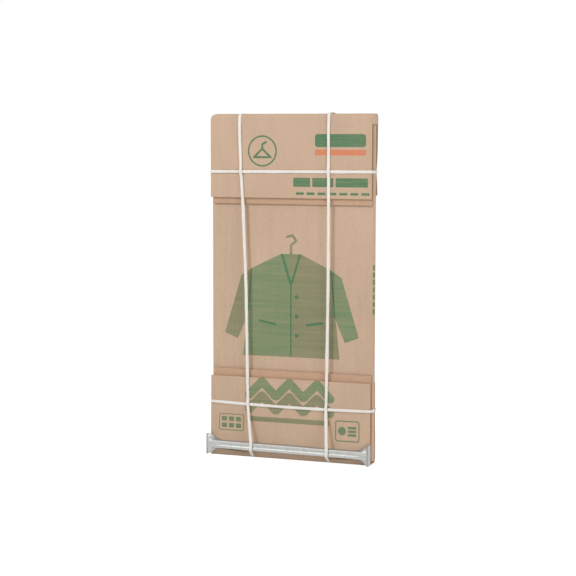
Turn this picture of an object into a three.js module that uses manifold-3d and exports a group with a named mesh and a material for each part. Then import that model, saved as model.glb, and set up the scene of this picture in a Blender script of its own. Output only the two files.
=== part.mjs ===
// A wardrobe moving box as it is sold: one corrugated blank, glued into a tube, pressed flat, its flaps
// folded over outside, folded in half like a book, and tied with four loops of twine round its hanger bar.
// Millimetres, +Z up. The front faces -Y. The shapes are worked out round the pack's middle layer gap, at y = 0.
import * as THREE from "three";
import { mergeVertices } from "three/addons/utils/BufferGeometryUtils.js";
import Module from "manifold-3d";

const wasm = await Module();
wasm.setup();

// Board and blank
const boardThickness = 6.2; // double-wall corrugated board
const layerGap = 0.3; // air between two layers that lie on each other
const panelWidth = 614; // one wall of the box, between its folds
const panelHeight = 1219; // the box's height between its scores
const flapLength = 319; // from the score to the free edge
const outerFlapWidth = 615;
const innerFlapWidth = 608;
const innerFlapShift = 4; // the inner flaps sit this far towards the spine
const rootOverlap = 3; // a flap is joined to its panel over this height

// How the pack has settled
const bottomSlack = 3.25; // the outer flaps stand off this much more at the bottom
const slackHeight = 95; // up to this height the slack is full
const footCornerRadius = 3; // inside radius of the bottom bends, which are pressed flat
const backStandOff = 13; // the outer top flap springs open this far at the back
const squeezeSpan = 38; // height over which the twine pulls that flap in
const webHeight = 38; // uncut board at the top of the spine, measured from the top
const webCornerRadius = 12;
const webOverlap = 18; // the web reaches this far round onto the flaps
const lidClearance = 0.6; // between the web's lid and the flaps' edges
const lidRise = 1.2; // of the lid's underside above the scores
const crushedTopCorner = 22; // radius of the crushed corner at the top left
const crushedBottomCorner = 18; // radius of the crushed corner at the bottom right

// Hanger bar, pressed from one strip of galvanised sheet
const barLength = 625;
const sheetThickness = 1.2;
const channelHalfHeight = 13.75;
const channelBendRadius = 3.5;
const endHalfHeight = 37.5; // half of the strip's width, flat at the ends
const flareLength = 62;
const flarePower = 1.35; // a larger value keeps the flare closer to the end
const grooveHalfWidth = 6;
const grooveDepth = 3.2;
const lipDepth = 27.5;
const lipBendRadius = 2.5;
const lipTaper = 2.25; // the lip's free edge is narrower than its root by this at each side
const barSideClearance = 0.3; // between the bar's right lip and the edge of the flap
const barGroundClearance = 0.5;
const barTilt = THREE.MathUtils.degToRad(0.45); // the left end sits higher

// Twine
const twineWidth = 9.4;
const twineThickness = 4.2;
const twineSeat = 0.3; // between the twine and what it lies on
const grooveClearance = 0.25; // round the twine where it bites into the board
const topBite = 3.8; // the left loop's, over the top bend
const sideBite = 2.6; // at the folded edges
const cornerRadius = 4; // of a twine's turn round an edge
const crossingRun = 16; // a loop climbs over another along this length
const knotSize = new THREE.Vector3(8.5, 7, 10); // half sizes across, outwards and along the twine
const tailLength = 26;
const tailDrop = 10.4; // from the knot to a tail's tip, along the loop
const tailArch = 3; // a tail's middle stands off its straight line by this
const tailFineness = 0.8; // a tail's width and thickness against the twine's
const footLift = 1; // of a loop's turn at the foot, above its run under the pack

// Fineness
const bendSteps = 8;
const cornerSteps = 4;
const sectionSides = 8;
const sectionPower = 0.7; // of the twine's section: 1 is an ellipse, towards 0 a box
const knotSides = 10;
const knotRings = 7;
const flareSteps = 12;
const lipSteps = 3;
const grooveShares = [0, 0.35, 0.7, 1]; // of the groove's half width, where its section has points
const flareGrooveEnd = 0.8; // share of the flare at which the groove has run out
const cornerShare = 0.45; // of a stretch, the most that a rounded corner takes
const samePoint = 1e-6;

// Where the loops run: the upright loops by height, the level ones' rise by distance across
const leftLoopX = [[1224, -194], [1094, -191], [1040, -188], [948, -181.5], [767, -173], [624, -168],
  [478, -164.5], [295, -163], [195, -159.8], [54, -137.5], [27, -139.5], [3, -144]];
const rightLoopX = [[1224, 147.6], [1187, 146], [1040, 147], [884, 148], [634, 147.2], [419, 145.4],
  [347, 143.8], [277, 142], [195, 141.8], [54, 153], [27, 152.5], [3, 150.5]];
const upperLoopDrop = 192.85; // of the upper level loop's middle, below the top scores
const lowerLoopRise = 178.65; // of the lower one's, above the bottom scores
const upperLoopSlope = [[-307, -2], [0, 0], [307, 2]];
const lowerLoopSlope = [[-307, 6], [-182, 2.5], [0, 0], [128, 0], [279, 2.2], [307, 3.1]];
const knotHeights = { left: 612, right: 655 };
const knotX = { upper: -52, lower: 38 };

// Sizes that follow from those above
const pitch = boardThickness + layerGap;
const half = boardThickness / 2;
const foldX = panelWidth / 2 - pitch / 2 - half; // centres of the side folds
const scoreBottom = 1.5 * pitch + half;
const scoreTop = scoreBottom + panelHeight;
const topZ = scoreTop + 1.5 * pitch + half;
const spineX = foldX + 1.5 * pitch + half;
const upperLoopZ = upperLoopSlope.map(([x, rise]) => [x, scoreTop - upperLoopDrop + rise]);
const lowerLoopZ = lowerLoopSlope.map(([x, rise]) => [x, scoreBottom + lowerLoopRise + rise]);
const outerFlapY = 3.5 * pitch; // middle of an outer flap's board, where it lies close
const outerFlapHalf = outerFlapWidth / 2;
const packRight = Math.max(spineX, outerFlapHalf); // the spine, or the flaps where they reach further
const twineOffset = half + twineSeat + twineThickness / 2; // from a board's middle to a twine's middle
const twineClimb = twineThickness + twineSeat; // of a loop over another one
const flapFaceAtBar = outerFlapY + bottomSlack + half;
const wallLength = endHalfHeight - (channelHalfHeight - channelBendRadius) - channelBendRadius * Math.PI / 2;
const channelDepth = channelBendRadius + wallLength;
const barFrontY = -(flapFaceAtBar + twineSeat + channelDepth);
const barCentreX = outerFlapHalf + barSideClearance + sheetThickness - barLength / 2;
const barCentreZ = endHalfHeight + barGroundClearance + Math.sin(barTilt) * barLength / 2;

// Materials
const kraft = new THREE.MeshStandardMaterial({ color: 0xc9a484, roughness: 0.9, metalness: 0 });
const zinc = new THREE.MeshStandardMaterial({ color: 0xb9bbb8, roughness: 0.38, metalness: 0.9 });
const cotton = new THREE.MeshStandardMaterial({ color: 0xf3ece0, roughness: 0.85, metalness: 0 });

// A value read from a table of [position, value] pairs, by straight lines between them
function along(table, position) {
  const rows = [...table].sort((a, b) => a[0] - b[0]);
  const next = rows.findIndex(([at]) => at >= position);
  if (next === 0) return rows[0][1];
  if (next < 0) return rows.at(-1)[1];
  const [[at0, value0], [at1, value1]] = [rows[next - 1], rows[next]];
  return THREE.MathUtils.mapLinear(position, at0, at1, value0, value1);
}

// Solids from closed meshes, and back
function solidOf(positions, triangles) {
  let volume = 0;
  const corner = (i) => new THREE.Vector3().fromArray(positions, 3 * i);
  for (let i = 0; i < triangles.length; i += 3) {
    const [a, b, c] = [corner(triangles[i]), corner(triangles[i + 1]), corner(triangles[i + 2])];
    volume += a.dot(b.cross(c)) / 6;
  }
  const triVerts = new Uint32Array(volume < 0 ? triangles.toReversed() : triangles);
  return new wasm.Manifold(new wasm.Mesh({ numProp: 3, vertProperties: new Float32Array(positions), triVerts }));
}

function solidOfGeometry(geometry) {
  geometry.deleteAttribute("normal");
  geometry.deleteAttribute("uv");
  const merged = mergeVertices(geometry, 1e-4);
  return solidOf([...merged.attributes.position.array], [...merged.index.array]);
}

function meshOf(name, solid, material) {
  const { vertProperties, triVerts } = solid.getMesh();
  const geometry = new THREE.BufferGeometry();
  geometry.setAttribute("position", new THREE.BufferAttribute(new Float32Array(vertProperties), 3));
  geometry.setIndex(new THREE.BufferAttribute(new Uint32Array(triVerts), 1));
  geometry.computeVertexNormals();
  const mesh = new THREE.Mesh(geometry, material);
  mesh.name = name;
  return mesh;
}

// The middle line of a board seen on edge: straight runs and elliptic bends
class MiddleLine {
  constructor(u, v) {
    this.points = [new THREE.Vector2(u, v)];
  }

  to(u, v) {
    this.points.push(new THREE.Vector2(u, v));
    return this;
  }

  bend(centreU, centreV, radiusU, radiusV, fromDegrees, toDegrees, steps = bendSteps) {
    for (let step = 0; step <= steps; step++) {
      const angle = THREE.MathUtils.degToRad(THREE.MathUtils.lerp(fromDegrees, toDegrees, step / steps));
      const point = new THREE.Vector2(centreU + radiusU * Math.cos(angle), centreV + radiusV * Math.sin(angle));
      if (step || point.distanceTo(this.points.at(-1)) > samePoint) this.points.push(point);
    }
    return this;
  }

  // Ends the line where its length from the given point on reaches the wanted one
  cutAt(length, firstPoint = 0) {
    let left = length;
    for (let i = firstPoint; i < this.points.length - 1; i++) {
      const run = this.points[i].distanceTo(this.points[i + 1]);
      if (run >= left) {
        this.points.length = i + 2;
        this.points[i + 1] = this.points[i].clone().lerp(this.points[i + 1], left / run);
        return this;
      }
      left -= run;
    }
    return this;
  }

  // The line moved sideways, with its corners mitred
  offset(distance, closed = false) {
    const n = this.points.length;
    return this.points.map((point, i) => {
      const before = this.points[closed ? (i - 1 + n) % n : Math.max(i - 1, 0)];
      const after = this.points[closed ? (i + 1) % n : Math.min(i + 1, n - 1)];
      const into = point.clone().sub(before).normalize();
      const out = after.clone().sub(point).normalize();
      const mean = into.clone().add(out).normalize();
      const mitre = distance / Math.max(mean.dot(into.lengthSq() ? into : out), 0.5);
      return new THREE.Vector2(point.x - mean.y * mitre, point.y + mean.x * mitre);
    });
  }
}

// A board that stands on edge along Z: its middle line lies in the XY plane
function uprightBoard(line, closed, fromZ, toZ) {
  const left = line.offset(half, closed);
  const right = line.offset(-half, closed);
  const shape = closed ? new THREE.Shape(right) : new THREE.Shape([...left, ...right.toReversed()]);
  if (closed) shape.holes.push(new THREE.Path(left));
  const geometry = new THREE.ExtrudeGeometry(shape, { depth: toZ - fromZ, bevelEnabled: false });
  return solidOfGeometry(geometry.translate(0, 0, fromZ));
}

// An outline in the YZ plane, carried along X
function alongX(outline, fromX, toX) {
  const geometry = new THREE.ExtrudeGeometry(new THREE.Shape(outline), { depth: toX - fromX, bevelEnabled: false });
  const turn = new THREE.Matrix4().makeBasis(
    new THREE.Vector3(0, 1, 0), new THREE.Vector3(0, 0, 1), new THREE.Vector3(1, 0, 0));
  return solidOfGeometry(geometry.applyMatrix4(turn).translate(fromX, 0, 0));
}

function flapBoard(line, fromX, toX) {
  return alongX([...line.offset(half), ...line.offset(-half).toReversed()], fromX, toX);
}

// How far the outer front flap stands off at a height, beyond where it lies close
function slackAt(z) {
  const freeEdge = scoreBottom + flapLength;
  return bottomSlack * THREE.MathUtils.clamp((freeEdge - z) / (freeEdge - slackHeight), 0, 1);
}

// How far the outer back flap stands off at a height above the level twine that squeezes it
function springAt(z) {
  const twineZ = along(upperLoopZ, 0);
  return backStandOff * (1 - 1 / (1 + ((z - twineZ) / squeezeSpan) ** 2));
}

// The four walls of the box as one flattened tube, folded in half round the spine
function panelTube() {
  const line = new MiddleLine(-foldX, -1.5 * pitch)
    .to(foldX, -1.5 * pitch)
    .bend(foldX, 0, 1.5 * pitch, 1.5 * pitch, -90, 90, 2 * bendSteps)
    .to(-foldX, 1.5 * pitch)
    .bend(-foldX, pitch, pitch / 2, pitch / 2, 90, 270)
    .to(foldX, pitch / 2)
    .bend(foldX, 0, pitch / 2, pitch / 2, 90, -90)
    .to(-foldX, -pitch / 2)
    .bend(-foldX, -pitch, pitch / 2, pitch / 2, 90, 270);
  line.points.pop(); // the last point is the first one again
  return uprightBoard(line, true, scoreBottom, scoreTop);
}

// The short stretch that joins a flap to its panel, across the score
function flapRoot(panelY, scoreZ) {
  const line = new MiddleLine(panelY, scoreZ - rootOverlap).to(panelY, scoreZ + rootOverlap);
  return flapBoard(line, -foldX, foldX);
}

// side is -1 for the front and 1 for the back
function innerFlaps(side) {
  const from = innerFlapShift - innerFlapWidth / 2;
  const to = innerFlapShift + innerFlapWidth / 2;
  const panelY = side * 1.5 * pitch;
  const flapY = side * 2.5 * pitch;
  const start = side < 0 ? 0 : 180;
  const top = new MiddleLine(panelY, scoreTop)
    .bend(side * 2 * pitch, scoreTop, pitch / 2, pitch / 2, start, 180 - start)
    .to(flapY, scoreTop - flapLength)
    .cutAt(flapLength);
  const bottom = new MiddleLine(panelY, scoreBottom)
    .bend(side * 2 * pitch, scoreBottom, pitch / 2, pitch / 2, -start, start - 180)
    .to(flapY, scoreBottom + flapLength)
    .cutAt(flapLength);
  return [
    flapRoot(panelY, scoreTop), flapRoot(panelY, scoreBottom),
    flapBoard(top, from, to), flapBoard(bottom, from, to),
  ];
}

function frontTopFlap() {
  const line = new MiddleLine(-pitch / 2, scoreTop)
    .bend(-2 * pitch, scoreTop, 1.5 * pitch, 1.5 * pitch, 0, 180)
    .to(-outerFlapY, scoreTop - flapLength)
    .cutAt(flapLength);
  return flapBoard(line, -outerFlapHalf, outerFlapHalf);
}

// The bend is wider than the front one, and the flap bulges out above and below the twine
function backTopFlap() {
  const flapY = outerFlapY + springAt(scoreTop);
  const reach = (flapY - pitch / 2) / 2;
  const line = new MiddleLine(pitch / 2, scoreTop)
    .bend(pitch / 2 + reach, scoreTop, reach, 1.5 * pitch, 180, 0);
  const drop = flapLength / (2 * bendSteps);
  for (let z = scoreTop - drop; z > scoreTop - flapLength; z -= drop) line.to(outerFlapY + springAt(z), z);
  return flapBoard(line.cutAt(flapLength), -outerFlapHalf, outerFlapHalf);
}

// The outer bottom flaps: their bends are the feet, pressed flat by the pack's weight
function bottomOuterFlap(side) {
  const flapY = outerFlapY + bottomSlack;
  const bendRadius = footCornerRadius + half;
  const bendZ = half + bendRadius;
  const line = new MiddleLine(pitch / 2, scoreBottom)
    .to(pitch / 2, bendZ)
    .bend(pitch / 2 + bendRadius, bendZ, bendRadius, bendRadius, 180, 270)
    .bend(flapY - bendRadius, bendZ, bendRadius, bendRadius, 270, 360)
    .to(flapY, slackHeight)
    .to(outerFlapY, scoreBottom + flapLength)
    .cutAt(flapLength);
  for (const point of line.points) point.x *= side;
  return flapBoard(line, -outerFlapHalf, outerFlapHalf);
}

// Where the slot between the two outer top flaps stops short, the board wraps round the spine's top corner
function spineCorner() {
  const wrapX = packRight + layerGap + half;
  const backY = 1.5 * pitch + half; // it ends on the back wall, in front of the back flap that springs off
  const startX = wrapX - webOverlap;
  const line = new MiddleLine(startX, -outerFlapY)
    .bend(wrapX - webCornerRadius, webCornerRadius - outerFlapY, webCornerRadius, webCornerRadius, -90, 0)
    .bend(wrapX - webCornerRadius, backY - webCornerRadius, webCornerRadius, webCornerRadius, 0, 90)
    .to(startX, backY);
  const wall = uprightBoard(line, false, topZ - webHeight, scoreTop + half);
  const lidEdge = outerFlapHalf + lidClearance;
  const lidOutline = line.offset(-half).filter((point) => point.x > lidEdge);
  lidOutline.unshift(new THREE.Vector2(lidEdge, lidOutline[0].y));
  lidOutline.push(new THREE.Vector2(lidEdge, lidOutline.at(-1).y));
  const lid = new THREE.ExtrudeGeometry(new THREE.Shape(lidOutline), { depth: boardThickness, bevelEnabled: false });
  return [wall, solidOfGeometry(lid.translate(0, 0, scoreTop + lidRise))];
}

// What a crushed corner takes away: the square outside a quarter circle, through the whole depth.
// sideX and sideZ are the signs of the corner's place.
function crushedCorner(cornerX, cornerZ, sideX, sideZ, radius) {
  const beyond = 2 * radius;
  const centreX = cornerX - sideX * radius;
  const centreZ = cornerZ - sideZ * radius;
  const outline = [];
  for (let step = 0; step <= bendSteps; step++) {
    const angle = (Math.PI / 2) * (step / bendSteps);
    outline.push(new THREE.Vector2(
      centreX + sideX * radius * Math.cos(angle), centreZ + sideZ * radius * Math.sin(angle)));
  }
  outline.push(new THREE.Vector2(centreX, centreZ + sideZ * beyond));
  outline.push(new THREE.Vector2(centreX + sideX * beyond, centreZ + sideZ * beyond));
  outline.push(new THREE.Vector2(centreX + sideX * beyond, centreZ));
  const depth = 6 * outerFlapY;
  const geometry = new THREE.ExtrudeGeometry(new THREE.Shape(outline), { depth, bevelEnabled: false });
  return solidOfGeometry(geometry.rotateX(Math.PI / 2).translate(0, depth / 2, 0));
}

// A closed or open ribbon with a rounded section, carried along a route.
// across is the direction of its width.
function ribbon(route, across, width, thickness, closed) {
  const positions = [];
  const triangles = [];
  const n = route.length;
  const reach = Math.cos(Math.PI / sectionSides) ** sectionPower;
  const rounded = (value) => Math.sign(value) * Math.abs(value) ** sectionPower / reach;
  route.forEach((point, i) => {
    const before = route[closed ? (i - 1 + n) % n : Math.max(i - 1, 0)];
    const after = route[closed ? (i + 1) % n : Math.min(i + 1, n - 1)];
    const tangent = after.clone().sub(before).normalize();
    const wide = across.clone().addScaledVector(tangent, -across.dot(tangent)).normalize();
    const thick = new THREE.Vector3().crossVectors(tangent, wide);
    for (let side = 0; side < sectionSides; side++) {
      const angle = 2 * Math.PI * (side + 0.5) / sectionSides;
      const corner = point.clone()
        .addScaledVector(wide, rounded(Math.cos(angle)) * width / 2)
        .addScaledVector(thick, rounded(Math.sin(angle)) * thickness / 2);
      positions.push(...corner.toArray());
    }
  });
  const vertex = (ring, side) => (ring % n) * sectionSides + (side % sectionSides);
  for (let ring = 0; ring < (closed ? n : n - 1); ring++) {
    for (let side = 0; side < sectionSides; side++) {
      const [a, b] = [vertex(ring, side), vertex(ring, side + 1)];
      const [c, d] = [vertex(ring + 1, side), vertex(ring + 1, side + 1)];
      triangles.push(a, b, d, a, d, c);
    }
  }
  for (let side = 1; !closed && side < sectionSides - 1; side++) {
    triangles.push(vertex(0, 0), vertex(0, side + 1), vertex(0, side));
    triangles.push(vertex(n - 1, 0), vertex(n - 1, side), vertex(n - 1, side + 1));
  }
  return solidOf(positions, triangles);
}

// A closed route through corner points, each turned with its own radius
function roundedLoop(corners) {
  const route = [];
  corners.forEach(({ at, radius = 0 }, i) => {
    const before = corners[(i - 1 + corners.length) % corners.length].at;
    const after = corners[(i + 1) % corners.length].at;
    const toBefore = before.clone().sub(at);
    const toAfter = after.clone().sub(at);
    const reach = Math.min(radius, toBefore.length() * cornerShare, toAfter.length() * cornerShare);
    if (!reach) {
      route.push(at.clone());
      return;
    }
    const start = at.clone().addScaledVector(toBefore.normalize(), reach);
    const end = at.clone().addScaledVector(toAfter.normalize(), reach);
    const turn = new THREE.QuadraticBezierCurve3(start, at, end);
    route.push(...turn.getPoints(cornerSteps));
  });
  return route;
}

// The route of an upright loop, seen from its side as (y, z), with x read by height.
// biteAtTop sinks it into the top bends.
function uprightRoute(xByHeight, biteAtTop) {
  const corners = [];
  const topOffset = twineOffset - biteAtTop;
  const xTop = along(xByHeight, scoreTop);
  const xBottom = along(xByHeight, 0);
  const onFront = (y, z, radius) => corners.push({ at: new THREE.Vector3(along(xByHeight, z), y, z), radius });
  const onBack = (y, z, radius) => {
    const x = THREE.MathUtils.mapLinear(z, 0, scoreTop, xBottom, xTop);
    corners.push({ at: new THREE.Vector3(x, y, z), radius });
  };
  const upperZ = along(upperLoopZ, xTop);
  const lowerZ = along(lowerLoopZ, xBottom);
  const frontY = -(outerFlapY + twineOffset);
  const reach = (outerFlapY + springAt(scoreTop) - pitch / 2) / 2;

  // Over the top, front bend first, seen as a quarter circle with the flap's own centre
  for (let step = 0; step <= cornerSteps; step++) {
    const angle = (Math.PI / 2) * (1 + step / cornerSteps);
    const radius = 1.5 * pitch + topOffset;
    onFront(-2 * pitch + radius * Math.cos(angle), scoreTop + radius * Math.sin(angle));
  }
  onFront(frontY, scoreTop - 2 * crossingRun);
  // Down the front: over the upper level loop, past the open middle, over the lower one
  onFront(frontY, upperZ + crossingRun);
  onFront(frontY - twineClimb, upperZ + twineWidth / 2);
  onFront(frontY - twineClimb, upperZ - twineWidth / 2);
  onFront(frontY, upperZ - crossingRun);
  onFront(frontY, scoreTop - flapLength);
  onFront(frontY, scoreBottom + panelHeight / 2);
  onFront(frontY - slackAt(scoreBottom + flapLength), scoreBottom + flapLength);
  const lowerY = frontY - slackAt(lowerZ) - twineClimb;
  onFront(lowerY + twineClimb, lowerZ + crossingRun);
  onFront(lowerY, lowerZ + twineWidth / 2);
  onFront(lowerY, lowerZ - twineWidth / 2);
  // Over the bar and back to the foot
  const barX = along(xByHeight, barCentreZ);
  const barZ = barCentreZ - Math.tan(barTilt) * (barX - barCentreX);
  const barY = barFrontY - twineSeat - twineThickness / 2;
  onFront(barY, barZ + channelHalfHeight, cornerRadius);
  onFront(barY, barZ - channelHalfHeight, cornerRadius);
  const under = twineSeat + twineThickness / 2;
  const footY = outerFlapY + bottomSlack + half - cornerRadius;
  onFront(-footY, under + footLift, cornerRadius);
  onFront(-footY + 3 * cornerRadius, under);
  // Under the pack and up the back
  onBack(footY - 3 * cornerRadius, under);
  onBack(footY + cornerRadius / 2, under, 2 * cornerRadius);
  onBack(outerFlapY + bottomSlack + twineOffset, under + 5 * cornerRadius);
  onBack(outerFlapY + bottomSlack + twineOffset, slackHeight);
  onBack(-lowerY - twineClimb, lowerZ - crossingRun);
  onBack(-lowerY, lowerZ - twineWidth / 2);
  onBack(-lowerY, lowerZ + twineWidth / 2);
  onBack(-lowerY - twineClimb, lowerZ + crossingRun);
  onBack(-frontY, scoreBottom + flapLength);
  const bendLength = Math.PI * (reach + 1.5 * pitch) / 2;
  const freeEdge = scoreTop - flapLength + bendLength;
  onBack(outerFlapY + springAt(freeEdge) + twineOffset, freeEdge);
  onBack(outerFlapY + springAt(scoreTop) + twineOffset, scoreTop - 2 * crossingRun);
  for (let step = 0; step <= cornerSteps; step++) {
    const angle = (Math.PI / 2) * (step / cornerSteps);
    const [radiusY, radiusZ] = [reach + topOffset, 1.5 * pitch + topOffset];
    onBack(pitch / 2 + reach + radiusY * Math.cos(angle), scoreTop + radiusZ * Math.sin(angle));
  }
  return roundedLoop(corners);
}

// The route of a level loop, seen from above as (x, y), with z read by distance across
function levelRoute(zByDistance) {
  const corners = [];
  const turn = (x, y, radius) => {
    corners.push({ at: new THREE.Vector3(x, y, along(zByDistance, x)), radius });
  };
  const slack = slackAt(along(zByDistance, 0));
  const faceY = outerFlapY + slack + twineOffset;
  const leftX = -(outerFlapHalf + twineSeat + twineThickness / 2 - sideBite);
  const rightX = packRight + twineSeat + twineThickness / 2 - sideBite;
  const flapCornerX = outerFlapHalf - cornerRadius;
  turn(leftX, -faceY, cornerRadius);
  turn(-outerFlapHalf / 2, -faceY);
  turn(outerFlapHalf / 2, -faceY);
  turn(flapCornerX + cornerRadius, -faceY, cornerRadius);
  turn(rightX, -1.5 * pitch, cornerRadius);
  turn(rightX, 1.5 * pitch, cornerRadius);
  turn(flapCornerX + cornerRadius, faceY, cornerRadius);
  turn(outerFlapHalf / 2, faceY);
  turn(-outerFlapHalf / 2, faceY);
  turn(leftX, faceY, cornerRadius);
  return roundedLoop(corners);
}

// A tied knot with two short tails, on the back stretch of a loop
function knot(at, alongAxis, acrossAxis) {
  const ball = new THREE.SphereGeometry(1, knotSides, knotRings);
  const outwards = new THREE.Vector3(0, 1, 0);
  const size = new THREE.Matrix4().makeScale(knotSize.x, knotSize.y, knotSize.z);
  const turn = new THREE.Matrix4().makeBasis(acrossAxis, outwards, alongAxis);
  ball.applyMatrix4(size).applyMatrix4(turn).translate(at.x, at.y, at.z);
  const tails = [-1, 1].map((side) => {
    const tip = at.clone()
      .addScaledVector(acrossAxis, side * tailLength)
      .addScaledVector(alongAxis, -tailDrop);
    const middle = at.clone().lerp(tip, 0.5).addScaledVector(alongAxis, tailArch);
    return ribbon([at, middle, tip], alongAxis, twineWidth * tailFineness, twineThickness * tailFineness, false);
  });
  return tails.reduce((whole, tail) => whole.add(tail), solidOfGeometry(ball));
}

function uprightKnotPlace(route, height) {
  const back = route.filter((point) => point.y > 0);
  const upper = back.filter((point) => point.z > height).sort((a, b) => a.z - b.z)[0];
  const lower = back.filter((point) => point.z <= height).sort((a, b) => b.z - a.z)[0];
  return lower.clone().lerp(upper, (height - lower.z) / (upper.z - lower.z));
}

// The four loops: each has its route and the direction of its width
const acrossX = new THREE.Vector3(1, 0, 0);
const acrossZ = new THREE.Vector3(0, 0, 1);
const knotLift = knotSize.y - twineThickness / 2; // keeps a knot clear of the board behind it

function uprightLoop(name, xByHeight, biteAtTop, knotHeight) {
  const route = uprightRoute(xByHeight, biteAtTop);
  return { name, route, across: acrossX, knotAt: uprightKnotPlace(route, knotHeight), knotAlong: acrossZ };
}

function levelLoop(name, zByDistance, x) {
  const route = levelRoute(zByDistance);
  const y = Math.max(...route.map((point) => point.y)) + knotLift;
  const knotAt = new THREE.Vector3(x, y, along(zByDistance, x));
  return { name, route, across: acrossZ, knotAt, knotAlong: acrossX };
}

const loops = [
  uprightLoop("twine_upright_left", leftLoopX, topBite, knotHeights.left),
  uprightLoop("twine_upright_right", rightLoopX, 0, knotHeights.right),
  levelLoop("twine_level_upper", upperLoopZ, knotX.upper),
  levelLoop("twine_level_lower", lowerLoopZ, knotX.lower),
];

function twineSolid({ route, across, knotAt, knotAlong }) {
  return ribbon(route, across, twineWidth, twineThickness, true).add(knot(knotAt, knotAlong, across));
}

function twineGroove({ route, across }) {
  return ribbon(route, across, twineWidth + 2 * grooveClearance, twineThickness + 2 * grooveClearance, true);
}

// The carton: everything folded from one blank, with the marks of its twine and its crushed corners
function cartonSolid() {
  const pieces = [
    panelTube(),
    ...innerFlaps(-1),
    ...innerFlaps(1),
    ...[-pitch / 2, pitch / 2].flatMap((y) => [flapRoot(y, scoreTop), flapRoot(y, scoreBottom)]),
    frontTopFlap(),
    backTopFlap(),
    bottomOuterFlap(-1),
    bottomOuterFlap(1),
    ...spineCorner(),
  ];
  const cuts = [
    crushedCorner(-outerFlapHalf, topZ, -1, 1, crushedTopCorner),
    crushedCorner(packRight, 0, 1, -1, crushedBottomCorner),
    ...loops.map(twineGroove),
  ];
  return cuts.reduce((rest, cut) => rest.subtract(cut), pieces.reduce((whole, piece) => whole.add(piece)));
}

// The bar's half section at an opening angle, from the middle of its face to the edge of its wall.
// Each entry is (height, depth behind the face).
function barHalfSection(openAngle, depthOfGroove) {
  const faceHalf = channelHalfHeight - channelBendRadius;
  const section = grooveShares.map((share) => new THREE.Vector2(
    share * grooveHalfWidth, depthOfGroove * (1 + Math.cos(Math.PI * share)) / 2));
  section.push(new THREE.Vector2(faceHalf, 0));
  for (let step = 1; step <= lipSteps; step++) {
    const angle = openAngle * step / lipSteps;
    section.push(new THREE.Vector2(
      faceHalf + channelBendRadius * Math.sin(angle), channelBendRadius * (1 - Math.cos(angle))));
  }
  const wall = wallLength + channelBendRadius * (Math.PI / 2 - openAngle);
  const wallDirection = new THREE.Vector2(Math.cos(openAngle), Math.sin(openAngle));
  section.push(section.at(-1).clone().addScaledVector(wallDirection, wall));
  return section;
}

// The bar's stations along one half, each with its place, its opening and the scale of its height
function barStations() {
  const stations = [];
  const landEnd = barLength / 2 - lipBendRadius;
  for (let step = 0; step <= flareSteps; step++) {
    const nearEnd = step / flareSteps;
    const spread = Math.sin((Math.PI / 2) * nearEnd ** flarePower) ** 2;
    stations.push({
      x: landEnd - flareLength * (1 - nearEnd),
      y: 0,
      open: Math.acos(spread),
      groove: grooveDepth * (1 - THREE.MathUtils.smoothstep(nearEnd, 0, flareGrooveEnd)),
      scale: 1,
    });
  }
  for (let step = 1; step <= lipSteps; step++) {
    const angle = (Math.PI / 2) * step / lipSteps;
    const x = landEnd + lipBendRadius * Math.sin(angle);
    const y = lipBendRadius * (1 - Math.cos(angle));
    stations.push({ x, y, open: 0, groove: 0, scale: 1 });
  }
  stations.push({ x: barLength / 2, y: lipDepth, open: 0, groove: 0, scale: 1 - lipTaper / endHalfHeight });
  return stations;
}

// A surface given as rows of points, thickened towards its back and closed round its rim
function shellOf(rows, thickness) {
  const [rowCount, columnCount] = [rows.length, rows[0].length];
  const clampRow = (i) => THREE.MathUtils.clamp(i, 0, rowCount - 1);
  const clampColumn = (j) => THREE.MathUtils.clamp(j, 0, columnCount - 1);
  const positions = rows.flat().flatMap((point) => point.toArray());
  rows.forEach((row, i) => row.forEach((point, j) => {
    const alongRow = row[clampColumn(j + 1)].clone().sub(row[clampColumn(j - 1)]);
    const acrossRows = rows[clampRow(i + 1)][j].clone().sub(rows[clampRow(i - 1)][j]);
    const inwards = alongRow.cross(acrossRows).normalize();
    positions.push(...point.clone().addScaledVector(inwards, thickness).toArray());
  }));
  const front = (i, j) => i * columnCount + j;
  const back = (i, j) => rowCount * columnCount + front(i, j);
  const triangles = [];
  const quad = (a, b, c, d) => triangles.push(a, b, c, a, c, d);
  for (let i = 0; i < rowCount - 1; i++) {
    for (let j = 0; j < columnCount - 1; j++) {
      quad(front(i, j), front(i, j + 1), front(i + 1, j + 1), front(i + 1, j));
      quad(back(i, j), back(i + 1, j), back(i + 1, j + 1), back(i, j + 1));
    }
    quad(front(i, 0), front(i + 1, 0), back(i + 1, 0), back(i, 0));
    quad(front(i, columnCount - 1), back(i, columnCount - 1),
      back(i + 1, columnCount - 1), front(i + 1, columnCount - 1));
  }
  for (let j = 0; j < columnCount - 1; j++) {
    quad(front(0, j), back(0, j), back(0, j + 1), front(0, j + 1));
    quad(front(rowCount - 1, j), front(rowCount - 1, j + 1), back(rowCount - 1, j + 1), back(rowCount - 1, j));
  }
  return solidOf(positions, triangles);
}

function barSolid() {
  const right = barStations();
  const stations = [...right.toReversed().map((station) => ({ ...station, x: -station.x })), ...right];
  const rows = stations.map(({ x, y, open, groove, scale }) => {
    const section = barHalfSection(open, groove);
    const whole = [...section.slice(1).toReversed().map((point) => new THREE.Vector2(-point.x, point.y)), ...section];
    return whole.map((point) => new THREE.Vector3(x, y + point.y, scale * point.x));
  });
  return shellOf(rows, sheetThickness);
}

const pack = new THREE.Group();
pack.name = "wardrobe_box_pack";
pack.add(meshOf("carton_blank", cartonSolid(), kraft));

const bar = meshOf("hanger_bar", barSolid(), zinc);
bar.position.set(barCentreX, barFrontY, barCentreZ);
bar.rotation.y = barTilt;
pack.add(bar);

for (const loop of loops) pack.add(meshOf(loop.name, twineSolid(loop), cotton));

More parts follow.
